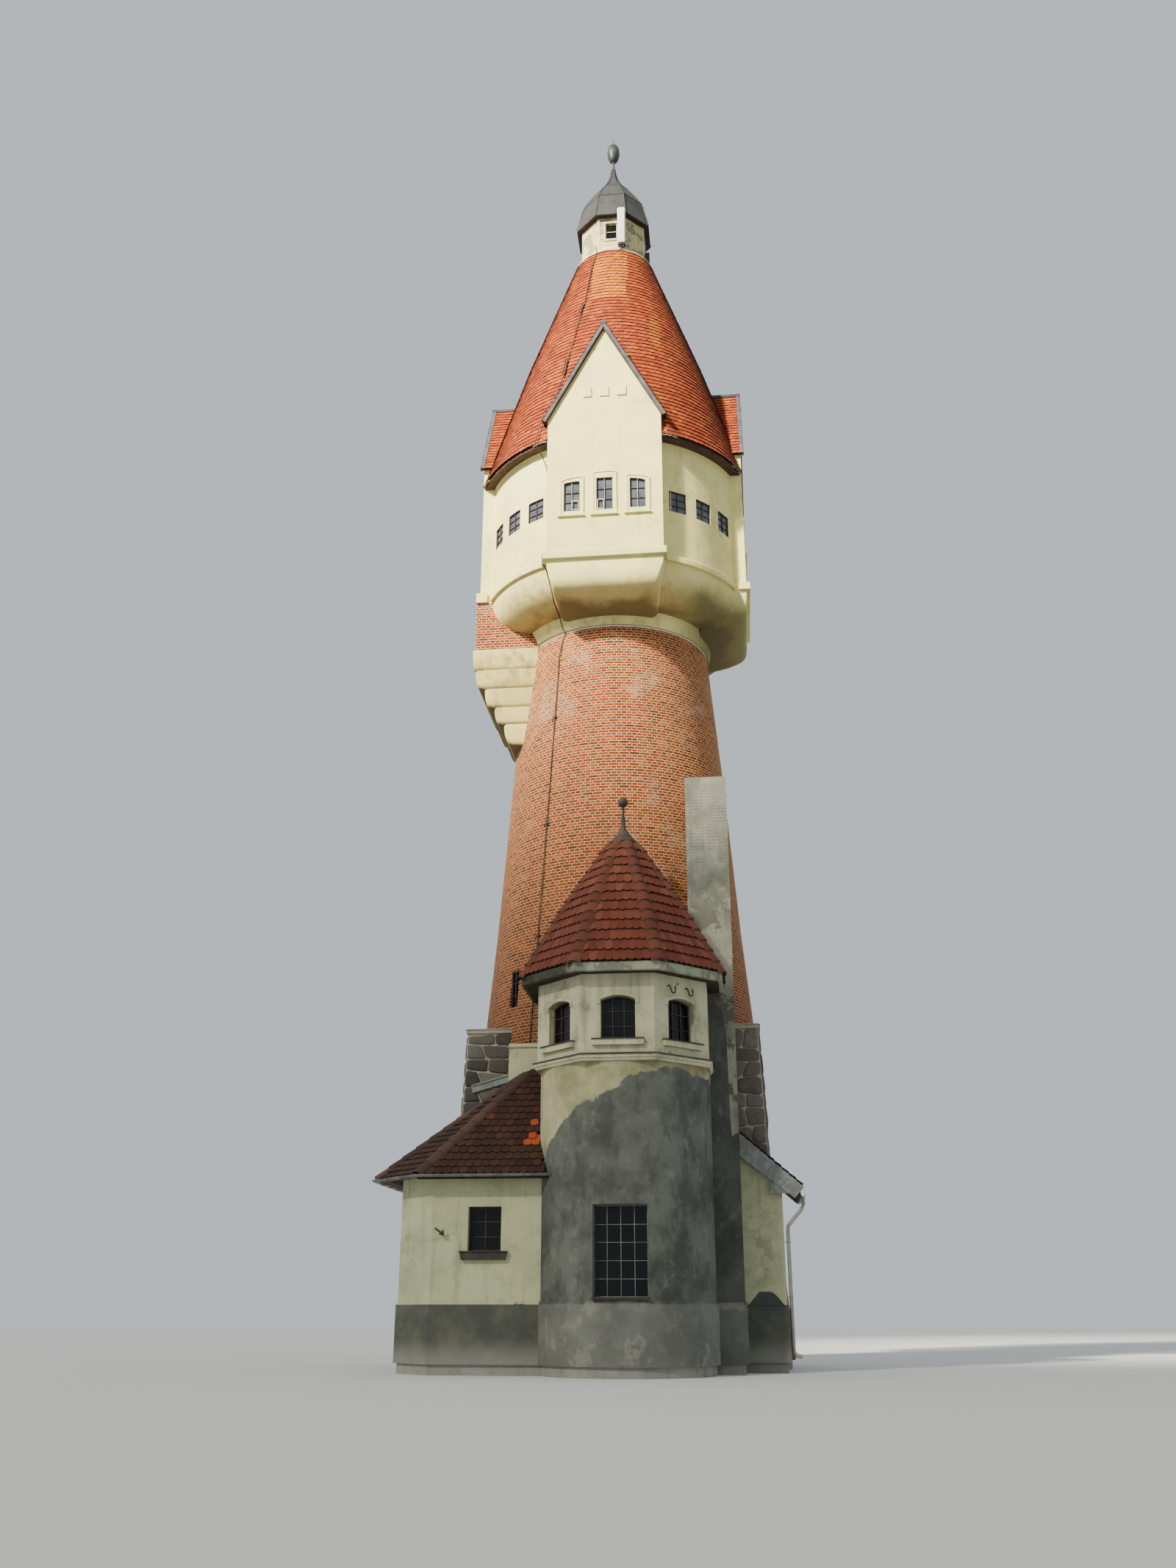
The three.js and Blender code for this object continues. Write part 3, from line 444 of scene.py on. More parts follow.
def make_looks():
    return {
        "shaft": brick_look("shaft_brick", True),
        "brick": brick_look("brick", False),
        "cream": render_look("render", (238, 227, 150), (222, 212, 146), (150, 134, 86), 0.55, swell=True),
        "old": render_look("old_render", (198, 194, 158), (170, 168, 136), (92, 90, 70), 0.9),
        "main": tile_look("roof_tiles", ((0, (118, 42, 12)), (0.35, (136, 52, 15)), (0.7, (148, 60, 19)),
                                         (1, (160, 76, 28))), (84, 50, 28), (180, 106, 22)),
        "turret": tile_look("turret_tiles", ((0, (98, 48, 34)), (0.35, (106, 53, 38)), (0.7, (113, 58, 42)),
                                             (1, (126, 70, 52))), (70, 54, 42)),
        "annex": tile_look("annex_tiles", ((0, (52, 34, 27)), (0.5, (66, 42, 33)), (0.93, (78, 48, 37)),
                                           (0.96, (168, 74, 38)), (1, (178, 80, 42))), (40, 38, 28)),
        "sheet": metal_look("sheet", (82, 80, 80), (122, 120, 118), 0.5, 0.25),
        "zinc": metal_look("zinc", (142, 140, 136), (170, 166, 158), 0.5, 0.3),
        "lead": metal_look("lead", (58, 56, 60), (84, 80, 80), 0.75, 0),
        "rust": metal_look("rusty_bars", (58, 52, 52), (88, 68, 56), 0.8, 0),
        "bars": metal_look("window_bars", (116, 116, 110), (82, 76, 68), 0.6, 0.1),
        "dark": metal_look("dark_iron", (44, 42, 40), (72, 64, 56), 0.65, 0.2),
        "paint": paint_look("peeling_paint", (196, 186, 134), (128, 124, 104), 0.85),
        "white": paint_look("white_paint", (218, 210, 164), (142, 136, 114), 0.45),
        "board": paint_look("board", (134, 142, 140), (110, 104, 92), 0.6),
        # Near-black boards under the eaves; their dark colour is partly painted shade.
        "soffit": metal_look("dark_boards_painted_shade", (30, 22, 17), (46, 36, 28), 0.92, 0),
        "stone": stone_look(),
        "mortar": render_look("mortar", (168, 158, 138), (140, 130, 112), (92, 86, 74), 0.8),
        "concrete": render_look("concrete", (150, 147, 139), (128, 125, 118), (88, 84, 76), 0.7),
        "glass": glass_look("glass", (6, 7, 8), (17, 19, 20), 0.25),
        # Grey-blue glass: its colour is a painted reflection of the sky.
        "glass_with_painted_sky": glass_look("glass_with_painted_sky", (68, 71, 80), (98, 101, 108)),
        "cove": render_look("cove_render", (238, 222, 146), (216, 200, 128), (104, 86, 50), 0.7, swell=True),
        "rolls": render_look("roll_render", (226, 208, 132), (196, 178, 112), (96, 84, 60), 0.9, rolled=True),
        "underlay": metal_look("roof_underlay", (58, 40, 34), (84, 58, 46), 0.9, 0),
        "cupola": metal_look("cupola_sheet", (36, 35, 37), (54, 52, 51), 0.75, 0),
        "egg": metal_look("egg_sheet", (44, 50, 42), (76, 80, 66), 0.45, 0.2),
        "maroon": metal_look("maroon_board", (48, 22, 24), (34, 18, 20), 0.8, 0),
        "flashing": render_look("flashing", (196, 186, 150), (150, 144, 116), (92, 88, 68), 1),
        "hip_mortar": render_look("hip_mortar", (88, 66, 54), (76, 58, 48), (52, 42, 36), 0.9),
        "panel": panel_look(),
        "annex_wall": render_look("annex_render", (190, 191, 150), (168, 170, 134), (98, 100, 82), 0.8,
                                  (1.34, (76, 77, 72))),
        "fascia": paint_look("fascia_paint", (150, 154, 128), (92, 92, 76), 0.7, black_left_of=-0.45),
        "turret_hip": tile_look("turret_hip_tiles", ((0, (92, 48, 36)), (0.5, (102, 54, 40)), (1, (114, 64, 48))),
                                (70, 60, 48)),
        "annex_hip": tile_look("annex_hip_tiles", ((0, (64, 50, 44)), (0.5, (78, 60, 52)), (1, (100, 72, 60))),
                               (52, 48, 38)),
        "floor": floor_look(),
        "patched": patched_look("patched_render", (190, 184, 140), (104, 106, 98), (66, 67, 62),
                                ((-68, 4), (-61, 4.32), (-48.5, 4.62), (-41, 4.9), (-31, 5.12), (-23, 5.26),
                                 (-11, 5.36),
                                 (0, 5.49), (6.5, 5.75), (14.6, 5.83), (23, 5.88), (40, 5.99), (53, 5.88), (66, 5.84),
                                 (82, 5.8)), (0.45, -4.05), (126, 122, 92)),
        "flue": patched_look("flue_render", (164, 163, 141), (90, 92, 85), (66, 67, 62),
                             ((-180, 7.2), (-33, 7.2), (-11, 7.54), (4, 7.67), (16, 7.5), (21, 7), (23, 4.75),
                              (180, 4.75)),
                             (2.39, -3), (104, 104, 94), ghost=True),
    }


make_camera()
make_light()
look = make_looks()


# Meshes

def polar(r, angle, z, centre=(0, 0)):
    """A place at a radius and at an angle in degrees from the front towards the right."""
    a = radians(angle)
    return centre[0] + r * sin(a), centre[1] - r * cos(a), z


class Shell:
    """Gathers the faces of one piece. Every place is (u, d, z): along the wall, out from the axis and up."""

    def __init__(self):
        self.verts = []
        self.faces = []
        self.tones = []

    def add(self, verts, faces, tone=0.5):
        start = len(self.verts)
        self.verts.extend(tuple(v) for v in verts)
        self.faces.extend([start + i for i in face] for face in faces)
        self.tones.extend([tone] * len(faces))

    def prism(self, near, far, tone=0.5):
        """A closed body between two rings of the same number of points."""
        n = len(near)
        sides = [[i, (i + 1) % n, n + (i + 1) % n, n + i] for i in range(n)]
        self.add(list(near) + list(far), [list(range(n))[::-1], list(range(n, 2 * n))] + sides, tone)

    def column(self, place, ring, z0, z1):
        """A closed body over a ring of (u, d) between two heights."""
        self.prism(*([place(u, d, z) for u, d in ring] for z in (z0, z1)))

    def block(self, place, u0, u1, d0, d1, z0, z1):
        self.column(place, box_outline(u0, u1, d0, d1), z0, z1)

    def rail(self, place, profile, us):
        """A profile of (d, z) led along the wall."""
        self.loft([[place(u, d, z) for d, z in profile] for u in us])

    def slab(self, place, ring, d0, d1):
        """A closed body over a ring of (u, z) between two distances."""
        self.prism(*([place(u, d, z) for u, z in ring] for d in (d0, d1)))

    def beam(self, place, a, b, wide, d0, d1):
        """A bar in the wall's plane from a to b, both (u, z)."""
        along = Vector((b[0] - a[0], b[1] - a[1])).normalized()
        off = Vector((-along.y, along.x)) * wide / 2
        ring = [(p[0] + s * off.x, p[1] + s * off.y) for p, s in ((a, 1), (b, 1), (b, -1), (a, -1))]
        self.slab(place, ring, d0, d1)

    def plate(self, place, loops, d0, d1):
        """A flat plate between two distances; the first loop of (u, z) is its edge, the others are holes."""
        flat = [p for loop in loops for p in loop]
        n = len(flat)
        tris = [list(t) for t in tessellate_polygon([[Vector((u, z, 0)) for u, z in loop] for loop in loops])]
        faces = tris + [[i + n for i in t][::-1] for t in tris]
        start = 0
        for loop in loops:
            count = len(loop)
            pairs = [(start + i, start + (i + 1) % count) for i in range(count)]
            faces += [[a, b, b + n, a + n] for a, b in pairs]
            start += count
        self.add([place(u, d, z) for d in (d0, d1) for u, z in flat], faces)

    def tube(self, points, radius, sides=8):
        """A round rod or pipe along points."""
        points = list(map(Vector, points))
        rings = []
        for before, p, after in zip(points[:1] + points, points, points[1:] + points[-1:]):
            ahead = (after - before).normalized()
            side = ahead.cross(Vector((0.31, 0.22, 0.93))).normalized()
            other = ahead.cross(side)
            rings.append([p + radius * (cos(t) * side + sin(t) * other)
                          for t in (2 * pi * j / sides for j in range(sides))])
        self.loft(rings)

    def lathe(self, profile, sides, centre=(0, 0), start=0, end=360):
        """A closed profile of (radius, z) turned about an upright axis, the whole way or from one angle to another."""
        whole = end - start >= 360
        angles = [start + (end - start) * i / sides for i in range(sides + (not whole))]
        self.loft([[polar(r, a, z, centre) for r, z in profile] for a in angles], whole)

    def loft(self, rings, closed=False, tone=0.5):
        """A body over rings of the same number of points, capped at both ends or closed round."""
        n, m = len(rings[0]), len(rings)
        faces = [] if closed else [list(range(n))[::-1], [(m - 1) * n + j for j in range(n)]]
        for i in range(m if closed else m - 1):
            for j in range(n):
                a, b = i * n + j, i * n + (j + 1) % n
                faces.append([a, b, (b + n) % (m * n), (a + n) % (m * n)])
        self.add([p for ring in rings for p in ring], faces, tone)

    def wall(self, outer, inner, holes, closed=False):
        """A curved wall given by two grids of points; holes are cells (row, column) that are left open."""
        rows, columns = len(outer), len(outer[0])
        count = rows * columns
        verts = [p for row in outer for p in row] + [p for row in inner for p in row]
        spans = columns if closed else columns - 1
        solid = {(i, j) for i in range(rows - 1) for j in range(spans)} - set(holes)
        faces = []

        def corner(i, j):
            return i * columns + j % columns
        for i, j in solid:
            a, b, c, d = corner(i, j), corner(i, j + 1), corner(i + 1, j + 1), corner(i + 1, j)
            faces += [[a, b, c, d], [d + count, c + count, b + count, a + count]]
            for (ni, nj), (p, q) in (((i - 1, j), (a, b)), ((i + 1, j), (c, d)), ((i, j - 1), (d, a)),
                                     ((i, j + 1), (b, c))):
                if closed:
                    nj %= spans
                if (ni, nj) not in solid:
                    faces.append([q, p, p + count, q + count])
        self.add(verts, faces)


def facing(angle, cx=0, cy=0):
    """Places (u, d, z) on a wall that faces angle degrees from the front towards the right."""
    c, s = cos(radians(angle)), sin(radians(angle))
    return lambda u, d, z: (cx + u * c + d * s, cy + u * s - d * c, z)


def piece(name, shell, material, stands_for=(), smooth=None):
    """The object: its material, its mount and the CAD nodes that it stands for."""
    mesh = bpy.data.meshes.new(name)
    mesh.from_pydata(shell.verts, [], shell.faces)
    mesh.attributes.new("tone", "FLOAT", "FACE").data.foreach_set("value", shell.tones)
    work = bmesh.new()
    work.from_mesh(mesh)
    bmesh.ops.recalc_face_normals(work, faces=work.faces)
    work.to_mesh(mesh)
    work.free()
    mesh.materials.append(look[material])
    if smooth:
        mesh.shade_smooth()
        mesh.set_sharp_from_angle(angle=radians(smooth))
    made = bpy.data.objects.new(name, mesh)
    link(made)
    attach(made, "root")
    if stands_for:
        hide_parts(*stands_for)


def level_in(line, z):
    """The radius on a line of (radius, z) points at a height."""
    for (r0, z0), (r1, z1) in zip(line, line[1:]):
        if z <= z1:
            return r0 + (r1 - r0) * max(0, z - z0) / (z1 - z0)
    return line[-1][0]


def curve_through(points, steps):
    """Catmull-Rom points through a list of tuples."""
    out = []
    for i in range(len(points) - 1):
        p0, p1, p2, p3 = points[max(i - 1, 0)], points[i], points[i + 1], points[min(i + 2, len(points) - 1)]
        for s in range(steps):
            t = s / steps
            parts = zip(p0, p1, p2, p3)
            out.append(tuple(b + t / 2 * (c - a + t * (2 * a - 5 * b + 4 * c - d + t * (3 * (b - c) + d - a)))
                             for a, b, c, d in parts))
    out.append(tuple(points[-1]))
    return out


# Radius and height up the brick shaft, outside and inside
SHAFT = ((3.98, 0.2003), (3.33, 8), (3.13, 10.1), (2.78, 14.7), (2.49, 17.96))
SHAFT_INSIDE = ((3.4, 0.2003), (2.11, 17.96))
QUARTERS = ("front_left", "front_right", "back_right", "back_left")
SIDES = ("front", "right", "back", "left")


def four(stem, names=QUARTERS):
    return [stem + "_" + name for name in names]


# Floor

def make_floor():
    shell = Shell()
    shell.lathe(((0.001, -0.05), (160, -0.05), (160, -0.002), (0.001, -0.002)), 64)
    mesh = bpy.data.meshes.new("studio_floor")
    mesh.from_pydata(shell.verts, [], shell.faces)
    mesh.materials.append(look["floor"])
    floor = bpy.data.objects.new("studio_floor", mesh)
    link(floor)


make_floor()


# The brick shaft with its slit window

def make_shaft():
    columns = [-180 + 1.875 * i for i in range(192)]
    half = degrees(asin(0.16 / 3.33))
    for target in (-45 - half, -45 + half):
        nearest = min(range(len(columns)), key=lambda i: abs(columns[i] - target))
        columns[nearest] = target
    rows = sorted({0.2003, 17.96, 7.95, 8.85, 8, 10.1, 14.7} | {0.6 * i for i in range(1, 30)})
    outer, inner = [], []
    for z in rows:
        r0, r1 = level_in(SHAFT, z), level_in(SHAFT_INSIDE, z)
        outer.append([polar(r0, a, z) for a in columns])
        inner.append([polar(r1, a, z) for a in columns])
    gap = [j for j, a in enumerate(columns) if -45 - half - 0.01 < a < -45 + half - 0.01]
    holes = [(i, j) for i, z in enumerate(rows) if 7.94 < z < 8.84 for j in gap]
    shell = Shell()
    shell.wall(outer, inner, holes, closed=True)
    piece("shaft_brickwork", shell, "shaft", four("shaft_wall"), smooth=30)


make_shaft()


def box_outline(u0, u1, z0, z1):
    return [(u0, z0), (u1, z0), (u1, z1), (u0, z1)]


def inset(outline, by):
    """The outline moved inwards by a distance, or outwards by a negative one."""
    turn = sum(a[0] * b[1] - b[0] * a[1] for a, b in zip(outline, outline[1:] + outline[:1]))
    sign = 1 if turn > 0 else -1
    moved = []
    for i, b in enumerate(outline):
        a, c = outline[i - 1], outline[(i + 1) % len(outline)]
        e1 = Vector((b[0] - a[0], b[1] - a[1])).normalized()
        e2 = Vector((c[0] - b[0], c[1] - b[1])).normalized()
        n1, n2 = Vector((-e1.y, e1.x)) * sign, Vector((-e2.y, e2.x)) * sign
        step = (n1 + n2) / (1 + n1.dot(n2)) * by
        moved.append((b[0] + step.x, b[1] + step.y))
    return moved


def window(bars, panes, place, outline, depth, us=(), zs=(), frame=0.014, bar=0.014):
    """A pane with its frame and glazing bars; depth is how far from the axis the pane stands."""
    wide = inset(outline, -0.012)
    panes.slab(place, wide, depth, depth + 0.012)
    bars.plate(place, [inset(outline, -0.008), inset(outline, frame)], depth + 0.014, depth + 0.05)
    left, right = min(u for u, z in outline), max(u for u, z in outline)
    low, high = min(z for u, z in outline), max(z for u, z in outline)
    for u in us:
        bars.beam(place, (u, low), (u, high), bar, depth + 0.015, depth + 0.044)
    for z in zs:
        bars.beam(place, (left, z), (right, z), bar * 0.8, depth + 0.0155, depth + 0.04)


# Head: moulded cove, round walls and square bays

DRUM = 3.62
HEAD = 19.32  # its foot, over the cove


def make_cove():
    cove = [(2.69 + 0.93 * cos(a), HEAD - 0.98 * sin(a))
            for a in (pi / 2 * (1 - i / 20) for i in range(21))]
    shell = Shell()
    shell.lathe([(2.13, 17.9603), (2.52, 17.9603), (2.645, 18.335)] + cove + [(3.041, HEAD)], 144)
    piece("cove", shell, "cove", smooth=32)


def mirrored_angles(*angles):
    return [-a for a in angles] + [0] + list(reversed(angles))


def make_drum_walls():
    outer_angles = mirrored_angles(20.07, 17.52, 15.46, 13.4, 11.34, 9.28, 6.7, 4.12, 2)
    inner_angles = mirrored_angles(16.91, 16.5, 15.2, 13.4, 11.1, 8.8, 6.7, 4.6, 2)
    rows = [HEAD, 19.6, 20, 20.86, 21.48, 22, 22.5, 22.93]
    for q, name in enumerate(QUARTERS):
        middle = -45 + 90 * q

        def ring(angles, radius, z):
            return [polar(radius, middle + a, z) for a in angles]
        outer = [ring(outer_angles, DRUM, z) for z in rows]
        inner = [ring(inner_angles, 3.045 if z < 19.5 else 3.24, z) for z in rows]
        holes = [(3, j) for j in (1, 2, 3, 4, 7, 8, 9, 10, 13, 14, 15, 16)]
        shell = Shell()
        shell.wall(outer, inner, holes)
        shell.lathe([(3.58, 19.322), (3.7, 19.322), (3.703, 19.335), (3.703, 19.475), (3.695, 19.49), (3.58, 19.53)],
                    24,
                    start=middle - 19.6, end=middle + 19.6)
        piece("drum_render_" + name, shell, "cream", ["drum_wall_" + name], smooth=25)


# A bay's holes, the surrounds of its windows, its gabled front and the swelling foot: (out, half width, height, corner)
BAY_WINDOWS = (
    [(-1.073, 20.74), (-0.652, 20.74), (-0.652, 21.645), (-0.76, 21.65), (-0.862, 21.64), (-0.97, 21.625),
     (-1.073, 21.6)],
    [(-0.215, 20.75), (0.215, 20.75), (0.215, 21.72), (-0.215, 21.72)],
    [(0.667, 20.76), (1.078, 20.76), (1.078, 21.58), (0.98, 21.615), (0.875, 21.64), (0.77, 21.655), (0.667, 21.66)],
)
SURROUNDS = (
    [(-1.175, 20.6), (-0.545, 20.6), (-0.545, 21.8), (-0.68, 21.805), (-0.86, 21.785), (-1.03, 21.74), (-1.175, 21.67)],
    [(-0.315, 20.6), (0.325, 20.6), (0.325, 21.9), (0.2, 21.925), (-0.18, 21.925), (-0.315, 21.9)],
    [(0.575, 20.6), (1.195, 20.6), (1.195, 21.66), (1.05, 21.72), (0.88, 21.76), (0.72, 21.775), (0.575, 21.775)],
)
GABLE = [(-1.525, HEAD), (1.525, HEAD), (1.525, 23.602), (0, 26.4997), (-1.525, 23.602)]
FOOT = ((3.63, 1.525, 19.321, 0.015), (3.632, 1.5, 19.08, 0.03), (3.622, 1.455, 18.9, 0.06), (3.58, 1.415, 18.7, 0.1),
        (3.48, 1.385, 18.55, 0.15), (3.3, 1.345, 18.43, 0.2), (3.1, 1.29, 18.33, 0.24), (2.85, 1.22, 18.24, 0.28),
        (2.6, 1.1, 18.18, 0.32))


def corner(w, d, r, steps):
    """The rounded left corner of a ring of (u, d)."""
    return [(-w + r - r * cos(a), d - r + r * sin(a)) for a in (pi / 2 * i / steps for i in range(steps + 1))]


def mirrored(left):
    return [(-u, d) for u, d in reversed(left)]


def add_foot(shell, place):
    """The swelling underside of a bay: rings of a rounded square that shrink downwards."""
    rings = []
    for d, w, z, r in curve_through(FOOT, 3):
        back = min(3.06, 2.14 + 0.6724 * (z - 17.96))
        left = [(-w, back), (-w, (back + d - r) / 2)] + corner(w, d, r, 6) + [(-0.45 * w, d + 0.004)]
        rings.append([place(u, v, z) for u, v in left + [(0, d + 0.006)] + mirrored(left)])
    shell.loft(rings)


def make_bays():
    bars, casements, panes = Shell(), Shell(), Shell()
    for q, name in enumerate(SIDES):
        place = facing(90 * q)
        shell = Shell()
        shell.plate(place, [GABLE] + [list(w) for w in BAY_WINDOWS], 3.25, 3.63)
        for s in (-1, 1):
            ring = ((s * 1.525, 2.86), (s * 1.525, 3.2501), (s * 1.145, 3.2501), (s * 1.145, 3.03))
            tops = (23.602, 23.602, 24.324, 24.324)
            shell.prism([place(u, d, HEAD) for u, d in ring], [place(u, d, z) for (u, d), z in zip(ring, tops)])
        high = 19.53 if name != "left" else 19.61
        profile = [(3.43, 19.319), (3.722, 19.319), (3.73, 19.33), (3.73, high - 0.03), (3.72, high - 0.012),
                   (3.43, high)]
        shell.rail(place, profile, (-1.6, 1.6))
        if name != "left":
            add_foot(shell, place)
        for outline, hole in zip(SURROUNDS, BAY_WINDOWS):
            left, right = outline[0][0], outline[1][0]
            shell.plate(place, [outline, inset(outline, 0.035)], 3.625, 3.662)
            shell.plate(place, [inset(outline, 0.034), inset(list(hole), 0.0005)], 3.625, 3.645)
            shell.block(place, left - 0.06, right + 0.03, 3.625, 3.69, 20.585, 20.618)
        for u0, u1 in ((-0.576, -0.336), (-0.119, 0.14), (0.349, 0.612)):
            tile = box_outline(u0, u1, 24.29, 24.6)
            shell.prism([place(u, 3.625, z) for u, z in tile], [place(u, 3.662, z) for u, z in inset(tile, 0.012)])
        if name == "right":
            shell.beam(facing(0), (3.37, 21.8), (3.6, 22.16), 0.035, 1.51, 1.57)
            shell.beam(facing(0), (3.605, 22.14), (3.605, 22.36), 0.03, 1.51, 1.57)
        piece("bay_render_" + name, shell, "cream", ["bay_wall_" + name], smooth=25)
        for hole in BAY_WINDOWS:
            left, right = hole[0][0], hole[1][0]
            low, high = hole[0][1], hole[-1][1]
            third = (high - low) / 3
            window(bars, panes, place, list(hole), 3.57, [], [low + third, low + 2 * third])
            casements.beam(place, ((left + right) / 2, low), ((left + right) / 2, high), 0.009, 3.587, 3.618)
        if name == "front":
            for u0, u1 in ((-0.86, -0.68), (-0.195, -0.01)):
                pane = box_outline(u0, u1, 20.78, 21.07)
                casements.plate(place, [pane, inset(pane, 0.018)], 3.622, 3.638)
        for turn in (-13.4, 0, 13.4):
            place = facing(90 * q + 45 + turn)
            window(bars, panes, place, box_outline(-0.2595, 0.2595, 20.8605, 21.4795), 3.55, [0], [21.067, 21.273])
            if (q, turn) == (0, -13.4):
                casements.beam(place, (-0.21, 20.9), (-0.21, 21.44), 0.025, 3.6, 3.61)
    piece("head_window_bars", bars, "rust")
    piece("head_casements", casements, "white")
    piece("head_panes", panes, "glass_with_painted_sky", ["head_glazing"])


def make_corbel():
    steps = ((2.66, 2.92, 15.13, 1.4), (3.02, 3.18, 15.73, 1.44), (3.29, 3.45, 16.21, 1.48), (3.54, 3.71, 16.75, 1.52),
             (3.72, 3.8, 17.29, 1.545), (0, 0, 17.8897, 0))
    place = facing(270)
    shell = Shell()
    rings = []
    for (low, high, z0, wide), (_, _, z1, _) in zip(steps, steps[1:]):
        for t in (0, 0.08, 0.2, 0.35, 0.5, 0.65, 0.8, 0.92, 0.98, 1):
            swell = sqrt(1 - (1 - t) ** 2) if t < 0.95 else 1 - (t - 0.95) * 1.2
            far = low + (high - low) * swell
            half = wide - 0.09 * (1 - swell)
            z = z0 + (z1 - z0) * t
            left = [(-half, 2), (-half, (2 + far) / 2)] + corner(half, far, 0.1, 4)
            rings.append([place(u, d, z) for u, d in left + mirrored(left) + [(0.8, 2.3), (-0.8, 2.3)]])
    shell.loft(rings)
    piece("corbel_rolls", shell, "rolls", ["left_bay_corbel"], smooth=50)


make_cove()
make_drum_walls()
make_bays()
make_corbel()


# Roof tiles: thin slabs with a rounded lower edge, laid in shifted rows

ROW, TILE, TILE_LONG = 0.163, 0.16, 0.285  # the main roof's tiles: from row to row, their width and their length
TAIL = ((-0.5, 0.02), (-0.3, 0.005), (0, 0), (0.3, 0.005), (0.5, 0.02))


def add_tile(shell, at, low, length, lift=0.034, thick=0.021, tail=TAIL, tone=None):
    """One tile; at(f, s, lift) gives the place for a share f of its width and a distance s up the slope."""
    low += dice.uniform(-0.006, 0.006)
    lift += dice.uniform(-0.002, 0.005)
    lean = dice.uniform(-0.004, 0.004)
    outline = [(f, low + s) for f, s in tail] + [(0.5, low + length), (-0.5, low + length)]

    def rise(f, s):
        return lift * (1 - (s - low) / length) + lean * f
    under = [at(f, s, rise(f, s)) for f, s in outline]
    over = [at(f, s, rise(f, s) + thick) for f, s in outline]
    n = len(outline)
    rolled = dice.random()
    tone = rolled if tone is None else tone + 0.06 * rolled
    shell.prism(under, over, tone)
    # Edge faces get a tone above 1.5, which the tile looks paint dark as shade.
    shell.tones[-n:] = [tone + 2] * n


# Radius and height up the main roof, and the measures of the dormers' gables
ROOF = ((3.9, 23.02), (2.64, 27.19), (1.15, 31.56))


DORMER_HALF, DORMER_FOOT, DORMER_TOP = 1.6, 23.6, 26.66


def roof_radius(z):
    return level_in(ROOF, max(z, 23.02))


def sloped(line):
    """The length of a broken slope and, for a distance up it, radius, height and the two parts of the normal."""
    legs = []
    gone = 0
    for (r0, z0), (r1, z1) in zip(line, line[1:]):
        length = hypot(r1 - r0, z1 - z0)
        legs.append((gone, r0, z0, (r1 - r0) / length, (z1 - z0) / length))
        gone += length

    def surface(s):
        start, r0, z0, dr, dz = legs[0] if s < legs[1][0] else legs[1]
        return r0 + dr * (s - start), z0 + dz * (s - start), dz, -dr
    return gone, surface


def make_main_roof():
    gone, surface = sloped(ROOF)
    shell = Shell()
    for row in range(int(gone / ROW)):
        low = row * ROW
        r, z, nr, nz = surface(low + 0.07)
        count = round(2 * pi * r / TILE)
        step = 2 * pi / count
        for i in range(count):
            middle = (i + 0.5 * (row % 2)) * step
            turn = (middle + pi / 4) % (pi / 2) - pi / 4
            u = r * sin(turn)
            if z > 23.62 and abs(u) < DORMER_HALF * (DORMER_TOP - z) / 3.06 - 0.1 or z <= 23.62 and abs(u) < 1.47:
                continue
            axis = middle - turn

            def at(f, s, lift):
                r, z, nr, nz = surface(min(s, gone - 0.001))
                r += nr * lift
                a = turn + f * step * 0.99
                u, d = r * sin(a), r * cos(a)
                if z <= 23.66 and abs(u) < 1.534:
                    u = copysign(1.534, u)
                return (u * cos(axis) + d * sin(axis), u * sin(axis) - d * cos(axis), z + nz * lift)
            add_tile(shell, at, low - 0.03, TILE_LONG)
    piece("main_roof_tiles", shell, "main")
    # A near-black ring under the tiles' edge stands for the shade under the eave; a cream cove joins it to the wall.
    eave, cove = Shell(), Shell()
    for q in range(4):
        ends = {"start": 45 + 90 * q - 20.3, "end": 45 + 90 * q + 20.3}
        eave.lathe([(3.78, 22.975), (3.85, 22.955), (3.89, 22.965), (3.905, 23), (3.88, 23.03), (3.78, 23.03)], 24,
                   **ends)
        cove.lathe([(3.6, 22.925), (3.635, 22.925), (3.71, 22.955), (3.785, 22.98), (3.785, 23), (3.6, 23)], 24, **ends)
    piece("eave_cove", cove, "cream", smooth=40)
    piece("eave_soffit", eave, "soffit", smooth=40)
    mortar = Shell()
    for q in range(4):
        for side in (-1, 1):
            for turn, deep, wide in ((24.6, 0.16, 0.11), (26.4, 0.11, 0.12), (28.3, 0.07, 0.13)):
                place = facing(90 * q + side * turn)
                ring = [(-wide, 3.7), (wide, 3.7), (wide * 0.9, 3.93), (0.02, 3.955), (-wide * 0.85, 3.93)]
                mortar.prism([place(u, d, 22.97) for u, d in ring],
                             [place(u * 0.9, d - 0.05, 23.02 + deep) for u, d in ring])
    piece("eave_mortar", mortar, "mortar", smooth=50)


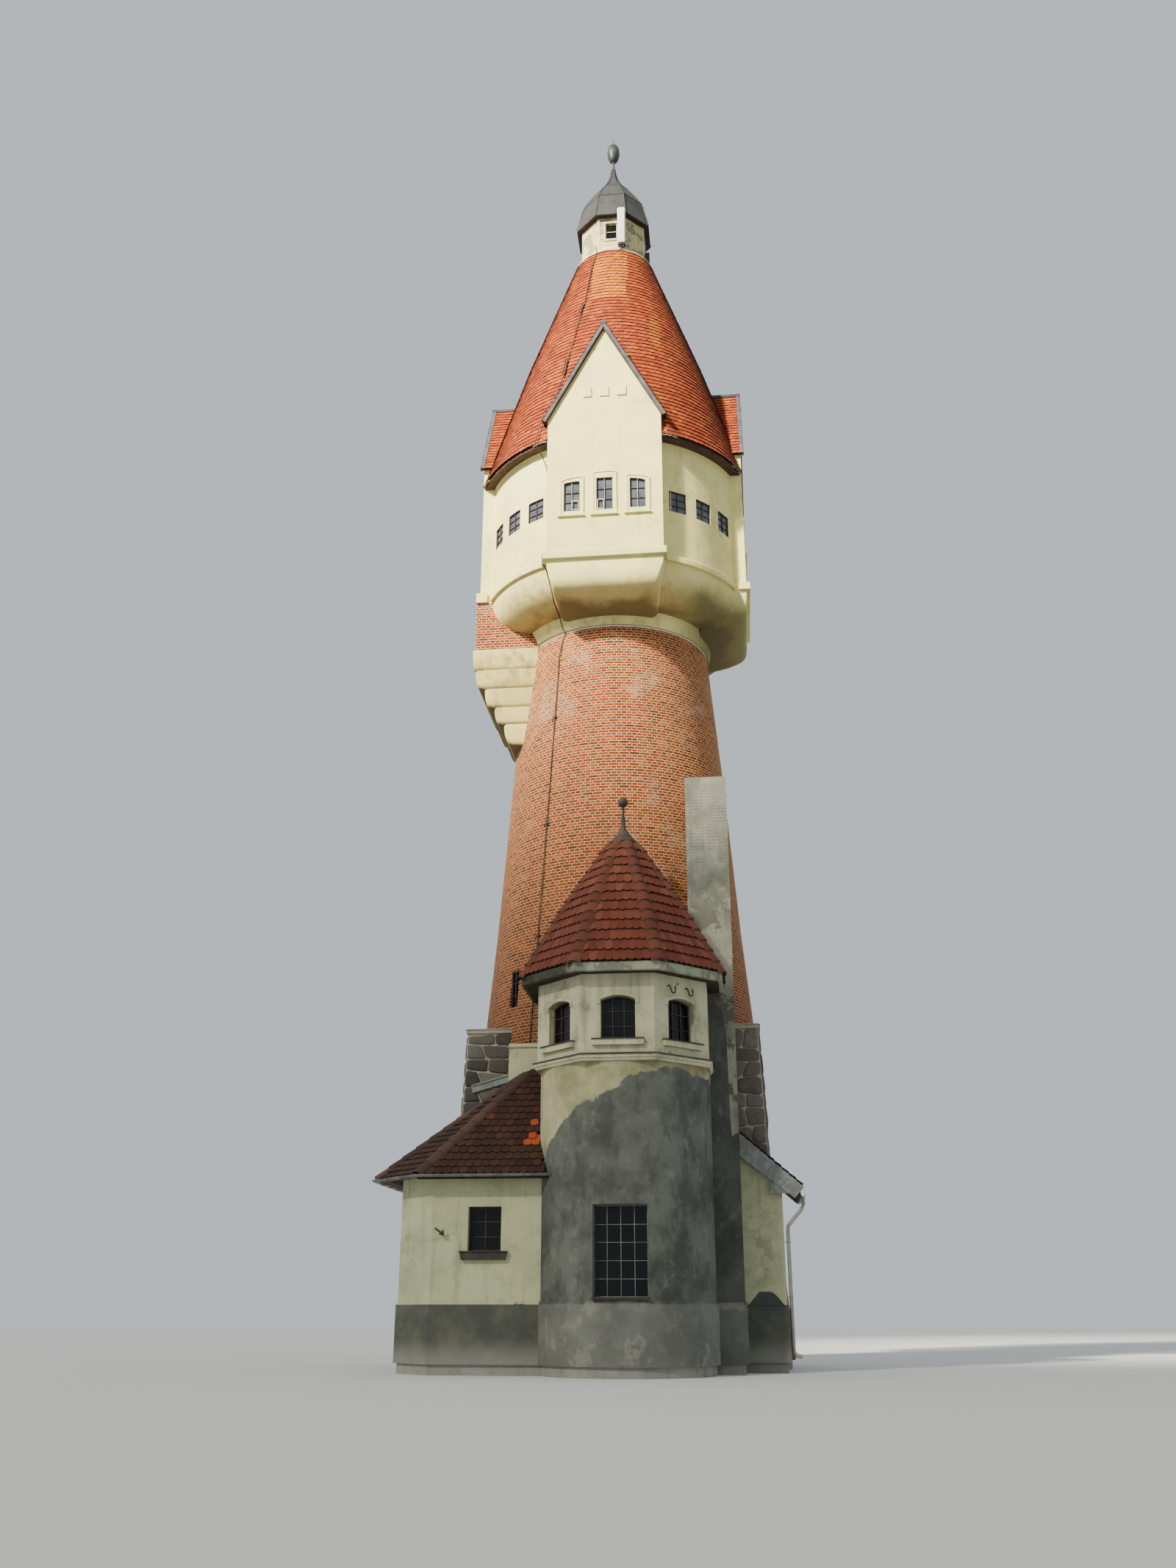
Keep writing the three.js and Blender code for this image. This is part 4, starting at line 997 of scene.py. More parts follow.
def make_dormer_roofs():
    tiles, metal = Shell(), Shell()
    slope = 3.453  # along the gable
    run, climb = DORMER_HALF / slope, (DORMER_TOP - DORMER_FOOT) / slope
    for q in range(4):
        place = facing(90 * q)
        for side in (-1, 1):
            for row in range(21):
                low = row * ROW
                for i in range(16):
                    middle = 3.6 - TILE * (i + 0.5 * (row % 2))
                    z = DORMER_FOOT + climb * (low + 0.07)
                    u = DORMER_HALF - run * (low + 0.07)
                    if hypot(u, middle) < roof_radius(z) - 0.2:
                        continue

                    def at(f, s, lift):
                        s = min(s, slope - 0.001)
                        d = min(middle + f * 0.158, 3.675)
                        return place(side * (DORMER_HALF - run * s + climb * lift), d,
                                     DORMER_FOOT + climb * s + run * lift)
                    add_tile(tiles, at, low - 0.03, TILE_LONG)
        (u0, z0), (u1, z1), (u2, z2) = ((DORMER_HALF + run * 0.05 + climb * h, DORMER_FOOT - climb * 0.05 + run * h)
                                        for h in (0.062, 0.046, -0.05))
        over, under, low = (DORMER_TOP + h / run for h in (0.062, 0.046, -0.05))
        metal.plate(place, [[(-u0, z0), (0, over), (u0, z0), (u2, z2), (0, low), (-u2, z2)]], 3.7, 3.722)
        for side in (-1, 1):
            metal.plate(place, [[(0, over), (side * u0, z0), (side * u1, z1), (0, under)]], 3.61, 3.722)
            seam = 0.63 if side > 0 else 0.4
            z = over - 1.911 * seam
            metal.plate(place, [[(side * (seam + du), z + dz) for du, dz in
                                 ((0, 0.006), (0.05, -0.09), (-0.06, -0.135), (-0.11, -0.04))]], 3.715, 3.732)
        ridge = [(0.085 * sin(a), 26.715 + 0.06 * cos(a)) for a in (pi * (i / 8 - 0.5) for i in range(9))]
        ridge += [(0.06, DORMER_TOP), (-0.06, DORMER_TOP)]
        metal.loft([[place(u, d, z) for u, z in ridge] for d in (2.66, 3.1, 3.73)])
    piece("dormer_tiles", tiles, "main")
    piece("verge_strips", metal, "lead", smooth=30)


def make_lantern():
    white, wood, panes = Shell(), Shell(), Shell()
    half = 0.95 * tan(pi / 8)
    for i in range(8):
        place = facing(45 * i)
        post = ((half - 0.045, 0.9), (half + 0.02, 0.9), (half + 0.008, 0.967), (half - 0.045, 0.975))
        white.column(place, post, 31.5, 32.945)
        white.block(place, -half + 0.005, -half + 0.04, 0.9, 0.973, 31.5, 32.945)
        wood.block(place, -half + 0.04, half - 0.045, 0.94, 0.968, 32.86, 32.945)
        if i % 2 == 0:
            hole = box_outline(-0.185, 0.185, 32.13, 32.74)
            white.plate(place, [inset(hole, -0.055), inset(hole, 0.0005)], 0.945, 0.978)
            white.block(place, -half + 0.04, half - 0.045, 0.94, 0.966, 31.6, 32.06)
            white.block(place, -0.26, 0.26, 0.945, 0.995, 32.045, 32.075)
            window(wood, panes, place, hole, 0.875, [], [32.44], frame=0.03, bar=0.02)
        else:
            for k in range(4):
                u0 = -half + 0.045 + k * (2 * half - 0.095) / 4
                wood.block(place, u0 + 0.003, u0 + (2 * half - 0.095) / 4 - 0.003, 0.945, 0.962 + 0.002 * (k % 2),
                           31.58, 32.86)
    piece("lantern_posts", white, "white")
    piece("lantern_boards", wood, "paint")
    piece("lantern_panes", panes, "glass", ["lantern_glazing"])
    flashing = Shell()
    rings = []
    for i in range(64):
        a = 2 * pi * i / 64
        low = 31.4 + dice.uniform(-0.03, 0.03)
        r = 0.95 / cos((a + pi / 8) % (pi / 4) - pi / 8)
        foot = roof_radius(low) + 0.045
        rings.append([(rr * sin(a), -rr * cos(a), z) for rr, z in
                      ((r - 0.03, 31.5), (foot - 0.05, low - 0.02), (foot, low), (roof_radius(31.54) + 0.05, 31.545),
                       (r + 0.03, 31.6 + dice.uniform(0, 0.03)), (r - 0.03, 31.62))])
    flashing.loft(rings, closed=True)
    piece("lantern_flashing", flashing, "flashing", smooth=40)


def make_cupola():
    outer = curve_through([(1.13, 32.9603), (1.13, 33.01)], 1)
    outer += curve_through([(1.125, 33.02), (1.015, 33.51), (0.925, 33.93), (0.725, 34.34), (0.465, 34.78),
                            (0.26, 35.1),
                            (0.15, 35.36), (0.075, 35.67), (0.045, 35.88)], 5)
    inner = [(0.04, 35.3), (0.06, 34.9), (0.33, 34.65), (0.6, 34.2), (0.78, 33.85), (0.85, 33.5), (0.87, 32.9603)]
    shell = Shell()
    stretch = 1 / cos(pi / 8)
    shell.lathe([(r * stretch, z) for r, z in outer + inner], 8, start=22.5, end=382.5)
    for i in range(8):
        shell.tube([polar(r * stretch + 0.004, 22.5 + 45 * i, z) for r, z in outer[1::2]], 0.014, 6)
    for z, r in ((33.93, 0.925), (34.78, 0.465)):
        ring = [polar(r * stretch + 0.006, 22.5 + 45 * i, z) for i in range(9)]
        for ends in zip(ring, ring[1:]):
            shell.tube(ends, 0.011, 5)
    piece("cupola_sheets", shell, "cupola", ["cupola"], smooth=18)
    rim = Shell()
    rim.lathe([(0.86 * stretch, 32.945), (1.12 * stretch, 32.945), (1.12 * stretch, 32.965),
               (0.86 * stretch, 32.965)], 8,
              start=22.5, end=382.5)
    piece("cupola_soffit", rim, "maroon")
    egg = [(0.0005, 35.8803), (0.042, 35.8803), (0.034, 36.1), (0.045, 36.14), (0.09, 36.165), (0.15, 36.25),
           (0.192, 36.4), (0.2, 36.53),
           (0.188, 36.66), (0.15, 36.78), (0.095, 36.845), (0.04, 36.88), (0.014, 36.9), (0.012, 37), (0.006, 37.099),
           (0.0005, 37.1)]
    shell = Shell()
    shell.lathe(egg[:1] + curve_through(egg[1:-1], 3) + egg[-1:], 32)
    piece("finial_egg", shell, "egg", ["finial"], smooth=50)


def make_antennas():
    shell = Shell()
    ring = [(0.45, -1.2), (0.45, -1.265), (0.425, -1.295), (0.33, -1.3), (0.235, -1.295), (0.21, -1.265),
            (0.21, -1.2), (0.23, -1.19), (0.43, -1.19)]
    shell.loft([[(0.33 + (x - 0.33) * k, -1.245 + (y + 1.245) * k, z) for x, y in ring]
                for z, k in ((31.69, 0.94), (31.705, 1), (33.015, 1), (33.03, 0.94))])
    piece("antenna_box", shell, "panel", ["panel_antenna"], smooth=35)
    dark = Shell()
    for z in (31.78, 32.86):
        dark.block(facing(0), 0.28, 0.38, 0.95, 1.19, z - 0.03, z + 0.03)
        dark.tube([(0.33, -1.08, z - 0.09), (0.33, -1.08, z + 0.09)], 0.022)
    dark.tube([(0.33, -1.08, 31.4), (0.33, -1.08, 32.98)], 0.025, 10)
    dark.block(facing(0), 0.22, 0.44, 1.1, 1.27, 31.64, 31.688)
    for x in (0.27, 0.33, 0.39):
        dark.tube([(x, -1.23, 31.65), (x + 0.005, -1.225, 31.56), (x * 0.6 + 0.1, -1.2, 31.47), (0.2, -1.22, 31.36)],
                  0.011, 6)
    dark.block(facing(0), 0.995, 1.126, 0.13, 0.27, 31.6, 32.12)
    dark.block(facing(0), 0.93, 1, 0.17, 0.22, 31.8, 31.86)
    piece("antenna_bracket", dark, "dark", smooth=40)


make_main_roof()
make_dormer_roofs()
make_lantern()
make_cupola()
make_antennas()


# Stair turret

# The turret's axis, the radius of its round wall and the limits of its window
TX, TY = 0.45, -4.05
TURRET = 1.85
TURRET_WINDOW = (-0.54, 0.56, 1.46, 3.21)
HALF_SIDE = 0.4142  # of an octagon, for each metre of its apothem


def octagon(apothem, angle, z):
    """A place on an eight-sided ring round the turret with a flat side to the front."""
    return polar(apothem / cos(radians((angle + 22.5) % 45 - 22.5)), angle, z, (TX, TY))


def round_turret(shell, profile, last):
    """A profile of (apothem, z) led round the eight sides, from the flue to an angle near the shaft."""
    shell.loft([[octagon(r, a, z) for r, z in profile] for a in (-121, -112.5, -67.5, -22.5, 22.5, 67.5, 112.5, last)])


def shaft_radius(z):
    return level_in(SHAFT, z)


def spread(first, left, right, last):
    """Angles round the turret's wall: even steps up to the window, over it and past it."""
    return [a + (b - a) * i / n for a, b, n in ((first, left, 28), (left, right, 10), (right, last, 28))
            for i in range(n)] + [last]


def make_turret_lower():
    first, last = 6.34 - 123.5, 6.34 + 123.5
    outer_angles, inner_angles = (spread(first, *(degrees(asin(u / r)) for u in TURRET_WINDOW[:2]), last)
                                  for r in (TURRET, 1.51))
    rows = [(z, 1.89) for z in (0.2003, 0.8, 1.36)] + [(z, TURRET) for z in (1.385, 1.46, 2.3, 3.21, 4.6, 6.0597)]

    def ring(angles, r, z):
        return [polar(r, a, z, (TX, TY)) for a in angles]
    outer = [ring(outer_angles, r, z) for z, r in rows]
    inner = [ring(inner_angles, 1.51, z) for z, r in rows]
    shell = Shell()
    shell.wall(outer, inner, [(i, j) for i in (4, 5) for j in range(28, 38)])
    piece("turret_lower_render", shell, "patched", ["turret_lower_wall_left", "turret_lower_wall_right"],
          smooth=25)


def make_turret_windows():
    bars, rusty, panes, dark, trim = Shell(), Shell(), Shell(), Shell(), Shell()
    place = facing(0, TX, TY)
    left, right, low, high = TURRET_WINDOW
    hole = box_outline(*TURRET_WINDOW)
    panes.slab(place, hole, 1.57, 1.582)
    bars.plate(place, [hole, inset(hole, 0.026)], 1.584, 1.612)
    for i in (1, 2, 3):
        u = left + (right - left) * i / 4
        bars.beam(place, (u, low), (u, high), 0.016, 1.585, 1.609)
    for i in (1, 2, 3, 4):
        z = low + 0.343 * i
        bars.beam(place, (left, z), (right, z), 0.013, 1.5855, 1.606)
    dark.block(place, -0.56, 0.58, 1.6, 1.89, 1.425, 1.462)
    for turn in (-45, 0, 45):
        place = facing(turn, TX, TY)
        arch = [(0.365 - 0.73 * i / 12, 7.33 + 0.09 * (1 - (1 - i / 6) ** 2)) for i in range(13)]
        hole = [(-0.365, 6.5), (0.365, 6.5)] + arch
        window(rusty, panes, place, hole, 1.65, [-0.12, 0.12], [6.78, 7.1], frame=0.026, bar=0.016)
        over = [(1.22 * u, z + 0.075 - 0.02 * abs(u) / 0.365) for u, z in arch]
        label = [(0.375, 7.25), (0.445, 7.25)] + over + [(-0.445, 7.25), (-0.375, 7.25)]
        label += [(u * 1.03, z + 0.006) for u, z in reversed(arch)]
        trim.plate(place, [label], 1.835, 1.862)
        dark.plate(place, [box_outline(-0.55, 0.55, 6.485, 6.51)], 1.83, 1.955)
    cornice = [(1.835, 6.189), (1.93, 6.189), (1.935, 6.172), (1.943, 6.172), (1.943, 6.199), (1.835, 6.228)]
    round_turret(dark, cornice, 129)
    moulding = [(1.82, 6.055), (1.87, 6.053), (1.885, 6.075), (1.895, 6.1), (1.915, 6.115), (1.922, 6.14),
                (1.922, 6.175), (1.835, 6.18)]
    round_turret(trim, moulding, 129)
    piece("turret_window_bars", bars, "bars")
    piece("turret_upper_bars", rusty, "rust")
    piece("turret_panes", panes, "glass", ["turret_ground_glazing", "turret_upper_glazing"])
    piece("turret_flashings", dark, "dark")
    piece("turret_mouldings", trim, "old", smooth=30)
    hooks = Shell()
    place = facing(45, TX, TY)
    for u in (-0.29, 0.21):
        line = ((-0.075, 1.83, 7.66), (-0.075, 1.9, 7.66), (-0.075, 1.93, 7.6), (-0.06, 1.935, 7.53),
                (-0.02, 1.935, 7.5), (0.02, 1.935, 7.5),
                (0.06, 1.93, 7.53), (0.075, 1.92, 7.6), (0.075, 1.91, 7.66))
        hooks.tube([place(u + du, d, z) for du, d, z in line], 0.015, 8)
    hooks.tube([place(-0.1, 1.83, 7.72), place(-0.1, 1.89, 7.73)], 0.012, 8)
    piece("turret_hooks", hooks, "dark", smooth=50)


# Apothem and height up the turret's roof
TURRET_ROOF = ((2.16, 8.08), (1.29, 9.7), (0.3, 11.33))


def make_turret_roof():
    gone, surface = sloped(TURRET_ROOF)
    tiles, hips, mortar = Shell(), Shell(), Shell()
    spacing = 0.29
    rows = int(gone / spacing) + 1
    tail = tuple((f, s * 2.4) for f, s in TAIL)
    for k in range(8):
        place = facing(45 * k, TX, TY)
        for row in range(rows):
            low = row * spacing - 0.04
            half = HALF_SIDE * surface(max(low, 0))[0]
            count = max(1, round(2 * half / 0.165))
            step = 2 * half / count
            shift = row % 2
            for i in range(count + shift):
                middle = -half + step * (i + 0.5 - 0.5 * shift)
                r, z, nr, nz = surface(low + 0.15)
                x, y, _ = place(middle, r, z)
                if hypot(x, y) < shaft_radius(z) - 0.02:
                    continue

                def at(f, s, lift):
                    r, z, nr, nz = surface(s)
                    edge = HALF_SIDE * r - 0.01
                    u = max(-edge, min(edge, middle + f * step * 0.99))
                    return place(u, r + nr * lift, z + nz * lift)
                add_tile(tiles, at, low, min(0.47, gone - low - 0.01), lift=0.052, thick=0.036, tail=tail)
    for k in range(8):
        angle = radians(22.5 + 45 * k)
        out = Vector((sin(angle), -cos(angle), 0))
        side = Vector((cos(angle), sin(angle), 0))
        for row in range(rows):
            low = row * spacing - 0.05
            high = min(low + spacing + 0.06, gone)
            rings, joints = [], []
            for s, up in ((low, 0.115), (high, 0.075)):
                r, z, nr, nz = surface(s)
                line = Vector((TX, TY, z)) + out * (r / cos(pi / 8))
                normal = (out * nr + Vector((0, 0, nz))).normalized()
                wide = 0.165 * (0.55 + 0.45 * min(1, r / 1.5))

                def bow(wider, lower):
                    return [line + side * ((wide + wider) * x) + normal * (up - lower - 0.4704 * wide * x * x)
                            for x in (-1, -0.7, -0.4, -0.13, 0.13, 0.4, 0.7, 1)]
                outer = bow(0, 0)
                rings.append(outer + [p - normal * 0.018 for p in reversed(outer)])
                joints.append(bow(0.014, 0.012))
            x, y, z = rings[0][3]
            if hypot(x, y) < shaft_radius(z) - 0.02:
                continue
            hips.loft(rings, tone=dice.random())
            thin = [joint + [p - Vector((0, 0, 0.03)) for p in reversed(joint)] for joint in joints]
            mortar.loft(thin)
    piece("turret_roof_tiles", tiles, "turret")
    piece("turret_hip_tiles", hips, "turret_hip", smooth=50)
    piece("turret_hip_mortar", mortar, "hip_mortar")
    board = Shell()
    round_turret(board, ((2.11, 7.875), (2.182, 7.875), (2.195, 7.885), (2.195, 8.06), (2.11, 8.07)), 132)
    piece("turret_fascia", board, "fascia")
    under = Shell()
    round_turret(under, ((1.842, 7.885), (2.14, 7.885), (2.14, 7.899), (1.842, 7.899)), 132)
    piece("turret_soffit", under, "soffit")
    knob = Shell()
    line = [(0.0005, 11.3303), (0.3, 11.3303), (0.335, 11.36), (0.338, 11.4), (0.245, 11.5), (0.165, 11.6), (0.1, 11.7),
            (0.062, 11.79), (0.046, 11.88), (0.036, 12.08), (0.026, 12.27), (0.034, 12.295), (0.075, 12.32),
            (0.105, 12.36),
            (0.118, 12.41), (0.108, 12.465), (0.078, 12.51), (0.035, 12.532), (0.0005, 12.54)]
    knob.lathe(line, 32, centre=(TX, TY))
    piece("turret_finial_cone", knob, "dark", ["turret_finial"], smooth=45)


make_turret_lower()
make_turret_windows()
make_turret_roof()


# Annex and lean-to wing: tiled slopes, gutters and pipe

def tile_slope(shell, foot, along, inward, pitch, limits, length, keep, tail=TAIL, spacing=0.2, width=0.18):
    """Rows of tiles on a flat slope. limits(run) gives the first and last place along the eave at a run inwards;
    keep(place) says whether a tile lies there. A few tiles by the flashing get a bright orange tone."""
    foot, along, inward = Vector(foot), Vector(along), Vector(inward)
    c = 1 / hypot(1, pitch)
    up = Vector((0, 0, 1))
    normal = (up - inward * pitch).normalized()
    for row in range(int(length / spacing)):
        low = row * spacing - 0.04
        run = max(0, (low + spacing / 2) * c)
        first, last = limits(run)
        start = floor(first / width) * width + (width / 2 if row % 2 else 0)
        for i in range(int((last - start) / width) + 2):
            middle = start + i * width
            if middle + width / 2 < first + 0.02 or middle - width / 2 > last - 0.02:
                continue
            p = foot + along * middle + inward * run + up * run * pitch
            if not keep(p):
                continue

            def at(f, s, lift):
                first, last = limits(max(0, s * c))
                a = max(first, min(last, middle + f * width * 0.97))
                return foot + along * a + (inward + up * pitch) * (s * c) + normal * lift
            # A few tiles by the flashing get a bright orange tone.
            new = -1.75 < p.x < -1.15 and (4.55 < p.z < 4.8 or 5 < p.z < 5.15) and dice.random() < 0.75
            add_tile(shell, at, low, spacing * 1.75, lift=0.036, thick=0.024, tail=tail, tone=0.97
                     if new else 0.9 * dice.random())


def hip_caps(shell, a, b, normal, width, step, climb=0.05):
    """Overlapping round tiles from a up to b."""
    a, b, normal = Vector(a), Vector(b), Vector(normal).normalized()
    ahead = (b - a).normalized()
    side = ahead.cross(normal).normalized()
    count = int((b - a).length / step)
    for i in range(count):
        rings = []
        for s, lift, wide in ((i * step - 0.03, climb + 0.02, width), ((i + 1) * step + 0.03, climb, width * 0.86)):
            p = a + ahead * s
            outer = [p + side * (wide * sin(t)) + normal * (lift - wide * 0.75 * (1 - cos(t))) for t in
                     (radians(v) for v in (-84, -60, -36, -12, 12, 36, 60, 84))]
            rings.append(outer + [q - normal * 0.02 for q in reversed(outer)])
        shell.loft(rings, tone=dice.random())


def lean(z):
    """How far a pier's outer faces have moved out at a height."""
    return 0.3 * (7.34 - z) / 7.14


def on_annex(p):
    if hypot(p.x - TX, p.y - TY) < TURRET or hypot(p.x, p.y) < shaft_radius(p.z) - 0.05:
        return False
    if -2.31 < p.x < -1.2 and -3.05 < p.y < -2.2 or p.x > -2.25 and p.y > -2.1 and p.z > 4.5:
        return False
    return not (-3.4 - lean(p.z) < p.x < -2.2 and -2.4 - lean(p.z) < p.y < -0.9)


def half_round(middle, out, radius, steps):
    """Points of a half circle that hangs under a place."""
    return [middle - out * (radius * cos(t)) - Vector((0, 0, radius * sin(t)))
            for t in (pi * j / steps for j in range(steps + 1))]


def gutter(shell, path, radius, z):
    """A half-round gutter along a level path; its back edge is on the path and it hangs to the right of it."""
    points = [Vector((x, y, z)) for x, y in path]
    rings = []
    for i, p in enumerate(points):
        before = (p - points[i - 1]).normalized() if i else (points[1] - p).normalized()
        after = (points[i + 1] - p).normalized() if i + 1 < len(points) else before
        n1, n2 = Vector((before.y, -before.x, 0)), Vector((after.y, -after.x, 0))
        out = (n1 + n2) / (1 + n1.dot(n2))
        middle = p + out * radius
        rings.append(half_round(middle, out, radius, 10) + half_round(middle, out, radius - 0.008, 10)[::-1])
    shell.loft(rings)
    for p, q in zip(points, points[1:]):
        n = Vector(((q - p).normalized().y, -(q - p).normalized().x, 0))
        count = int((q - p).length / 0.7)
        for k in range(1, count + 1):
            m = p.lerp(q, k / (count + 1)) + n * radius
            shell.tube(half_round(m, n, radius * 1.04, 8), 0.007, 5)


def make_annex():
    tiles, hips = Shell(), Shell()
    tail = tuple((f, s * 2.2) for f, s in TAIL)
    h = sqrt(0.5)
    for foot, along, inward, pitch, limits, length in (
            ((0, -5.08, 3.89), (1, 0, 0), (0, 1, 0), 1.2, lambda t: (-3.85 + 1.003 * t, -1), 4.4),
            ((-5, 0, 3.89), (0, -1, 0), (1, 0, 0), 0.777, lambda t: (1.12, 3.93 - 0.297 * t), 4.4),
            ((-3.85, -5.08, 3.89), (-h, h, 0), (h, h, 0), 0.843,
             lambda t: (0.006 * t, max(0.01, 1.626 - 0.535 * t)), 3.9)):
        tile_slope(tiles, foot, along, inward, pitch, limits, length, on_annex, tail)
    piece("annex_tiles", tiles, "annex")
    top = Vector((-1.718, -2.955, 6.43))
    hip_caps(hips, (-3.85, -5.08, 3.9), top, (-0.25, -0.6, 0.8), 0.17, 0.36, 0.07)
    hip_caps(hips, (-5, -3.93, 3.9), top, (-0.5, -0.3, 0.8), 0.17, 0.36, 0.07)
    piece("annex_hip_tiles", hips, "annex_hip", smooth=50)
    metal = Shell()
    gutter(metal, [(-5, -1.3), (-5, -3.93), (-3.85, -5.08), (-1.02, -5.08)], 0.06, 3.885)
    piece("annex_half_round_gutter", metal, "sheet", ["annex_gutter"], smooth=40)
    boards = Shell()
    boards.plate(facing(0), [box_outline(-3.87, -1.1, 3.8, 3.86)], 4.95, 5.07)
    piece("annex_eave_board", boards, "soffit")
    bars, panes, dark = Shell(), Shell(), Shell()
    place = facing(0)
    hole = box_outline(-2.8245, -2.1255, 2.3705, 3.2595)
    window(bars, panes, place, hole, 4.5, [-2.475], [2.66, 2.96], frame=0.035, bar=0.018)
    piece("annex_window_bars", bars, "dark")
    piece("annex_panes", panes, "glass", ["annex_glazing"])
    dark.slab(place, ((-2.94, 2.2), (-2.02, 2.2), (-1.985, 2.36), (-2.975, 2.36)), 4.69, 4.8)
    dark.block(place, -2.99, -1.97, 4.69, 4.83, 2.355, 2.372)
    dark.tube([(-3.5, -4.7, 2.82), (-3.5, -4.8, 2.82), (-3.4, -4.82, 2.76), (-3.34, -4.83, 2.72)], 0.018, 8)
    dark.slab(place, ((-3.42, 2.7), (-3.3, 2.67), (-3.32, 2.8)), 4.8, 4.84)
    piece("annex_sill", dark, "dark")
    lead = Shell()
    lead.beam(facing(0), (-3.25, 6.02), (-2.1, 6.34), 0.17, 2.5, 2.54)
    lead.beam(facing(0), (-3.25, 6.1), (-2.1, 6.42), 0.03, 2.49, 2.57)
    piece("pier_flashing_board", lead, "board")


def make_wing():
    tiles = Shell()

    def keep(p):
        if hypot(p.x, p.y) < shaft_radius(p.z) - 0.03 or (1.9 < p.x < 2.88 and p.y < -2.15):
            return False
        return not (2.2 < p.x < 3.4 + lean(p.z) and 0.9 < abs(p.y) < 2.4 + lean(p.z))
    tile_slope(tiles, (4.17, 0, 3.805), (0, 1, 0), (-1, 0, 0), 0.86, lambda t: (-2.86, -0.44), 3.6, keep)
    piece("wing_tiles", tiles, "annex")
    metal = Shell()
    gutter(metal, [(4.17, -2.8), (4.17, -0.5)], 0.055, 3.61)
    metal.tube([(4.225, -2.6, 3.56), (4.225, -2.6, 3.42), (4.18, -2.6, 3.31), (3.93, -2.6, 3.03), (3.87, -2.6, 2.96),
                (3.86, -2.6, 2.87),
                (3.86, -2.6, 0.47), (3.87, -2.605, 0.4), (3.93, -2.62, 0.34), (4.03, -2.64, 0.32)], 0.042, 16)
    for z in (2.62, 1.5, 0.62):
        metal.tube([(3.86 + 0.046 * cos(t), -2.6 + 0.046 * sin(t), z) for t in (2 * pi * j / 16 for j in range(17))],
                   0.009, 6)
        metal.tube([(3.82, -2.6, z), (3.76, -2.6, z)], 0.008, 6)
    piece("wing_gutter_and_pipe", metal, "zinc", ["wing_gutter", "downspout"], smooth=40)


def make_piers():
    stones = Shell()

    def face(place, d_at, width_at, z0, z1):
        """Irregular courses of stones; each joint leans and is shared by the stones beside it."""
        z = z0 + 0.02
        bottom = dice.uniform(-0.03, 0.03)
        while z < z1 - 0.1:
            high = dice.uniform(0.3, 0.5)
            if z + high > z1 - 0.16:
                high = z1 - z - 0.01
            top = dice.uniform(-0.07, 0.07)
            left, right = width_at(z + high / 2)
            u, lean_left = left + 0.01, 0
            while u < right - 0.08:
                wide = dice.uniform(0.34, 0.74)
                lean_right = dice.uniform(-0.15, 0.15)
                if right - (u + wide) < 0.25:
                    wide, lean_right = right - u - 0.01, 0
                u1 = u + wide

                def edge(base, tilt, at):
                    return base + tilt * (2 * (at - left) / max(right - left, 0.1) - 1)
                corners = [(u - lean_left / 2, edge(z, bottom, u)), (u1 - lean_right / 2, edge(z, bottom, u1)),
                           (u1 + lean_right / 2, edge(z + high, top, u1)), (u + lean_left / 2, edge(z + high, top, u))]
                add_stone(place, d_at, corners)
                u, lean_left = u1, lean_right
            z += high
            bottom = top

    def add_stone(place, d_at, corners):
        inner = inset(corners, 0.012)
        outline = []
        for i, p in enumerate(inner):
            before, after = inner[i - 1], inner[(i + 1) % 4]
            for q, share in ((before, dice.uniform(0.12, 0.42)), (after, dice.uniform(0.12, 0.42))):
                outline.append((p[0] + (q[0] - p[0]) * share * 0.5, p[1] + (q[1] - p[1]) * share * 0.5))
            outline.append(((p[0] + after[0]) / 2 + dice.uniform(-0.012, 0.012),
                            (p[1] + after[1]) / 2 + dice.uniform(-0.012, 0.012)))
        cu = sum(u for u, z in outline) / len(outline)
        cz = sum(z for u, z in outline) / len(outline)
        bulge = dice.uniform(0.03, 0.06)
        rings = []
        for grow, out in ((1, -0.03), (1, 0), (0.95, bulge * 0.55), (0.82, bulge * 0.85), (0.5, bulge)):
            rings.append([place(cu + (u - cu) * grow, d_at(z) + out + dice.uniform(-0.003, 0.003), cz + (z - cz) * grow)
                          for u, z in outline])
        stones.loft(rings, tone=dice.random())

    def reach(z, other):
        return sqrt(max(0, shaft_radius(z) ** 2 - other ** 2)) - 0.06

    for sx in (-1, 1):
        for sy in (-1, 1):
            low = {(-1, -1): 4.9, (1, -1): 3.9}.get((sx, sy), 0.25)

            def side_width(z):
                near, far = max(0.9, reach(z, 3.4 + lean(z))), 2.4 + lean(z)
                return (near, far) if sx * sy > 0 else (-far, -near)

            def face_width(z, y):
                near, far = max(2.2, reach(z, y)), 3.4 + lean(z)
                return (near, far) if sx * sy < 0 else (-far, -near)
            face(facing(90 * sx), lambda z: 3.4 + lean(z), side_width, low, 7.33)
            face(facing(0 if sy < 0 else 180), lambda z: 2.4 + lean(z), lambda z: face_width(z, 2.4 + lean(z)), low,
                 7.33)
            face(facing(180 if sy < 0 else 0), lambda z: -0.9, lambda z: tuple(-v for v in face_width(z, 0.9))[::-1],
                 low, 7.33)
    piece("pier_stones", stones, "stone", smooth=38)
    caps = Shell()
    for sx in (-1, 1):
        for sy in (-1, 1):
            u0, u1 = sorted((sx * 2.2, sx * 3.46))
            d0, d1 = sorted((-sy * 0.88, -sy * 2.46))
            cu, cd = (u0 + u1) / 2, (d0 + d1) / 2
            caps.prism(*([facing(0)(cu + (u - cu) * k, cd + (d - cd) * k, z) for u, d in box_outline(u0, u1, d0, d1)]
                         for k, z in ((1, 7.42), (0.93, 7.455))))
    piece("pier_caps", caps, "concrete")


make_annex()
make_wing()
make_piers()


# Slit window, lightning conductor, its brackets and the cables

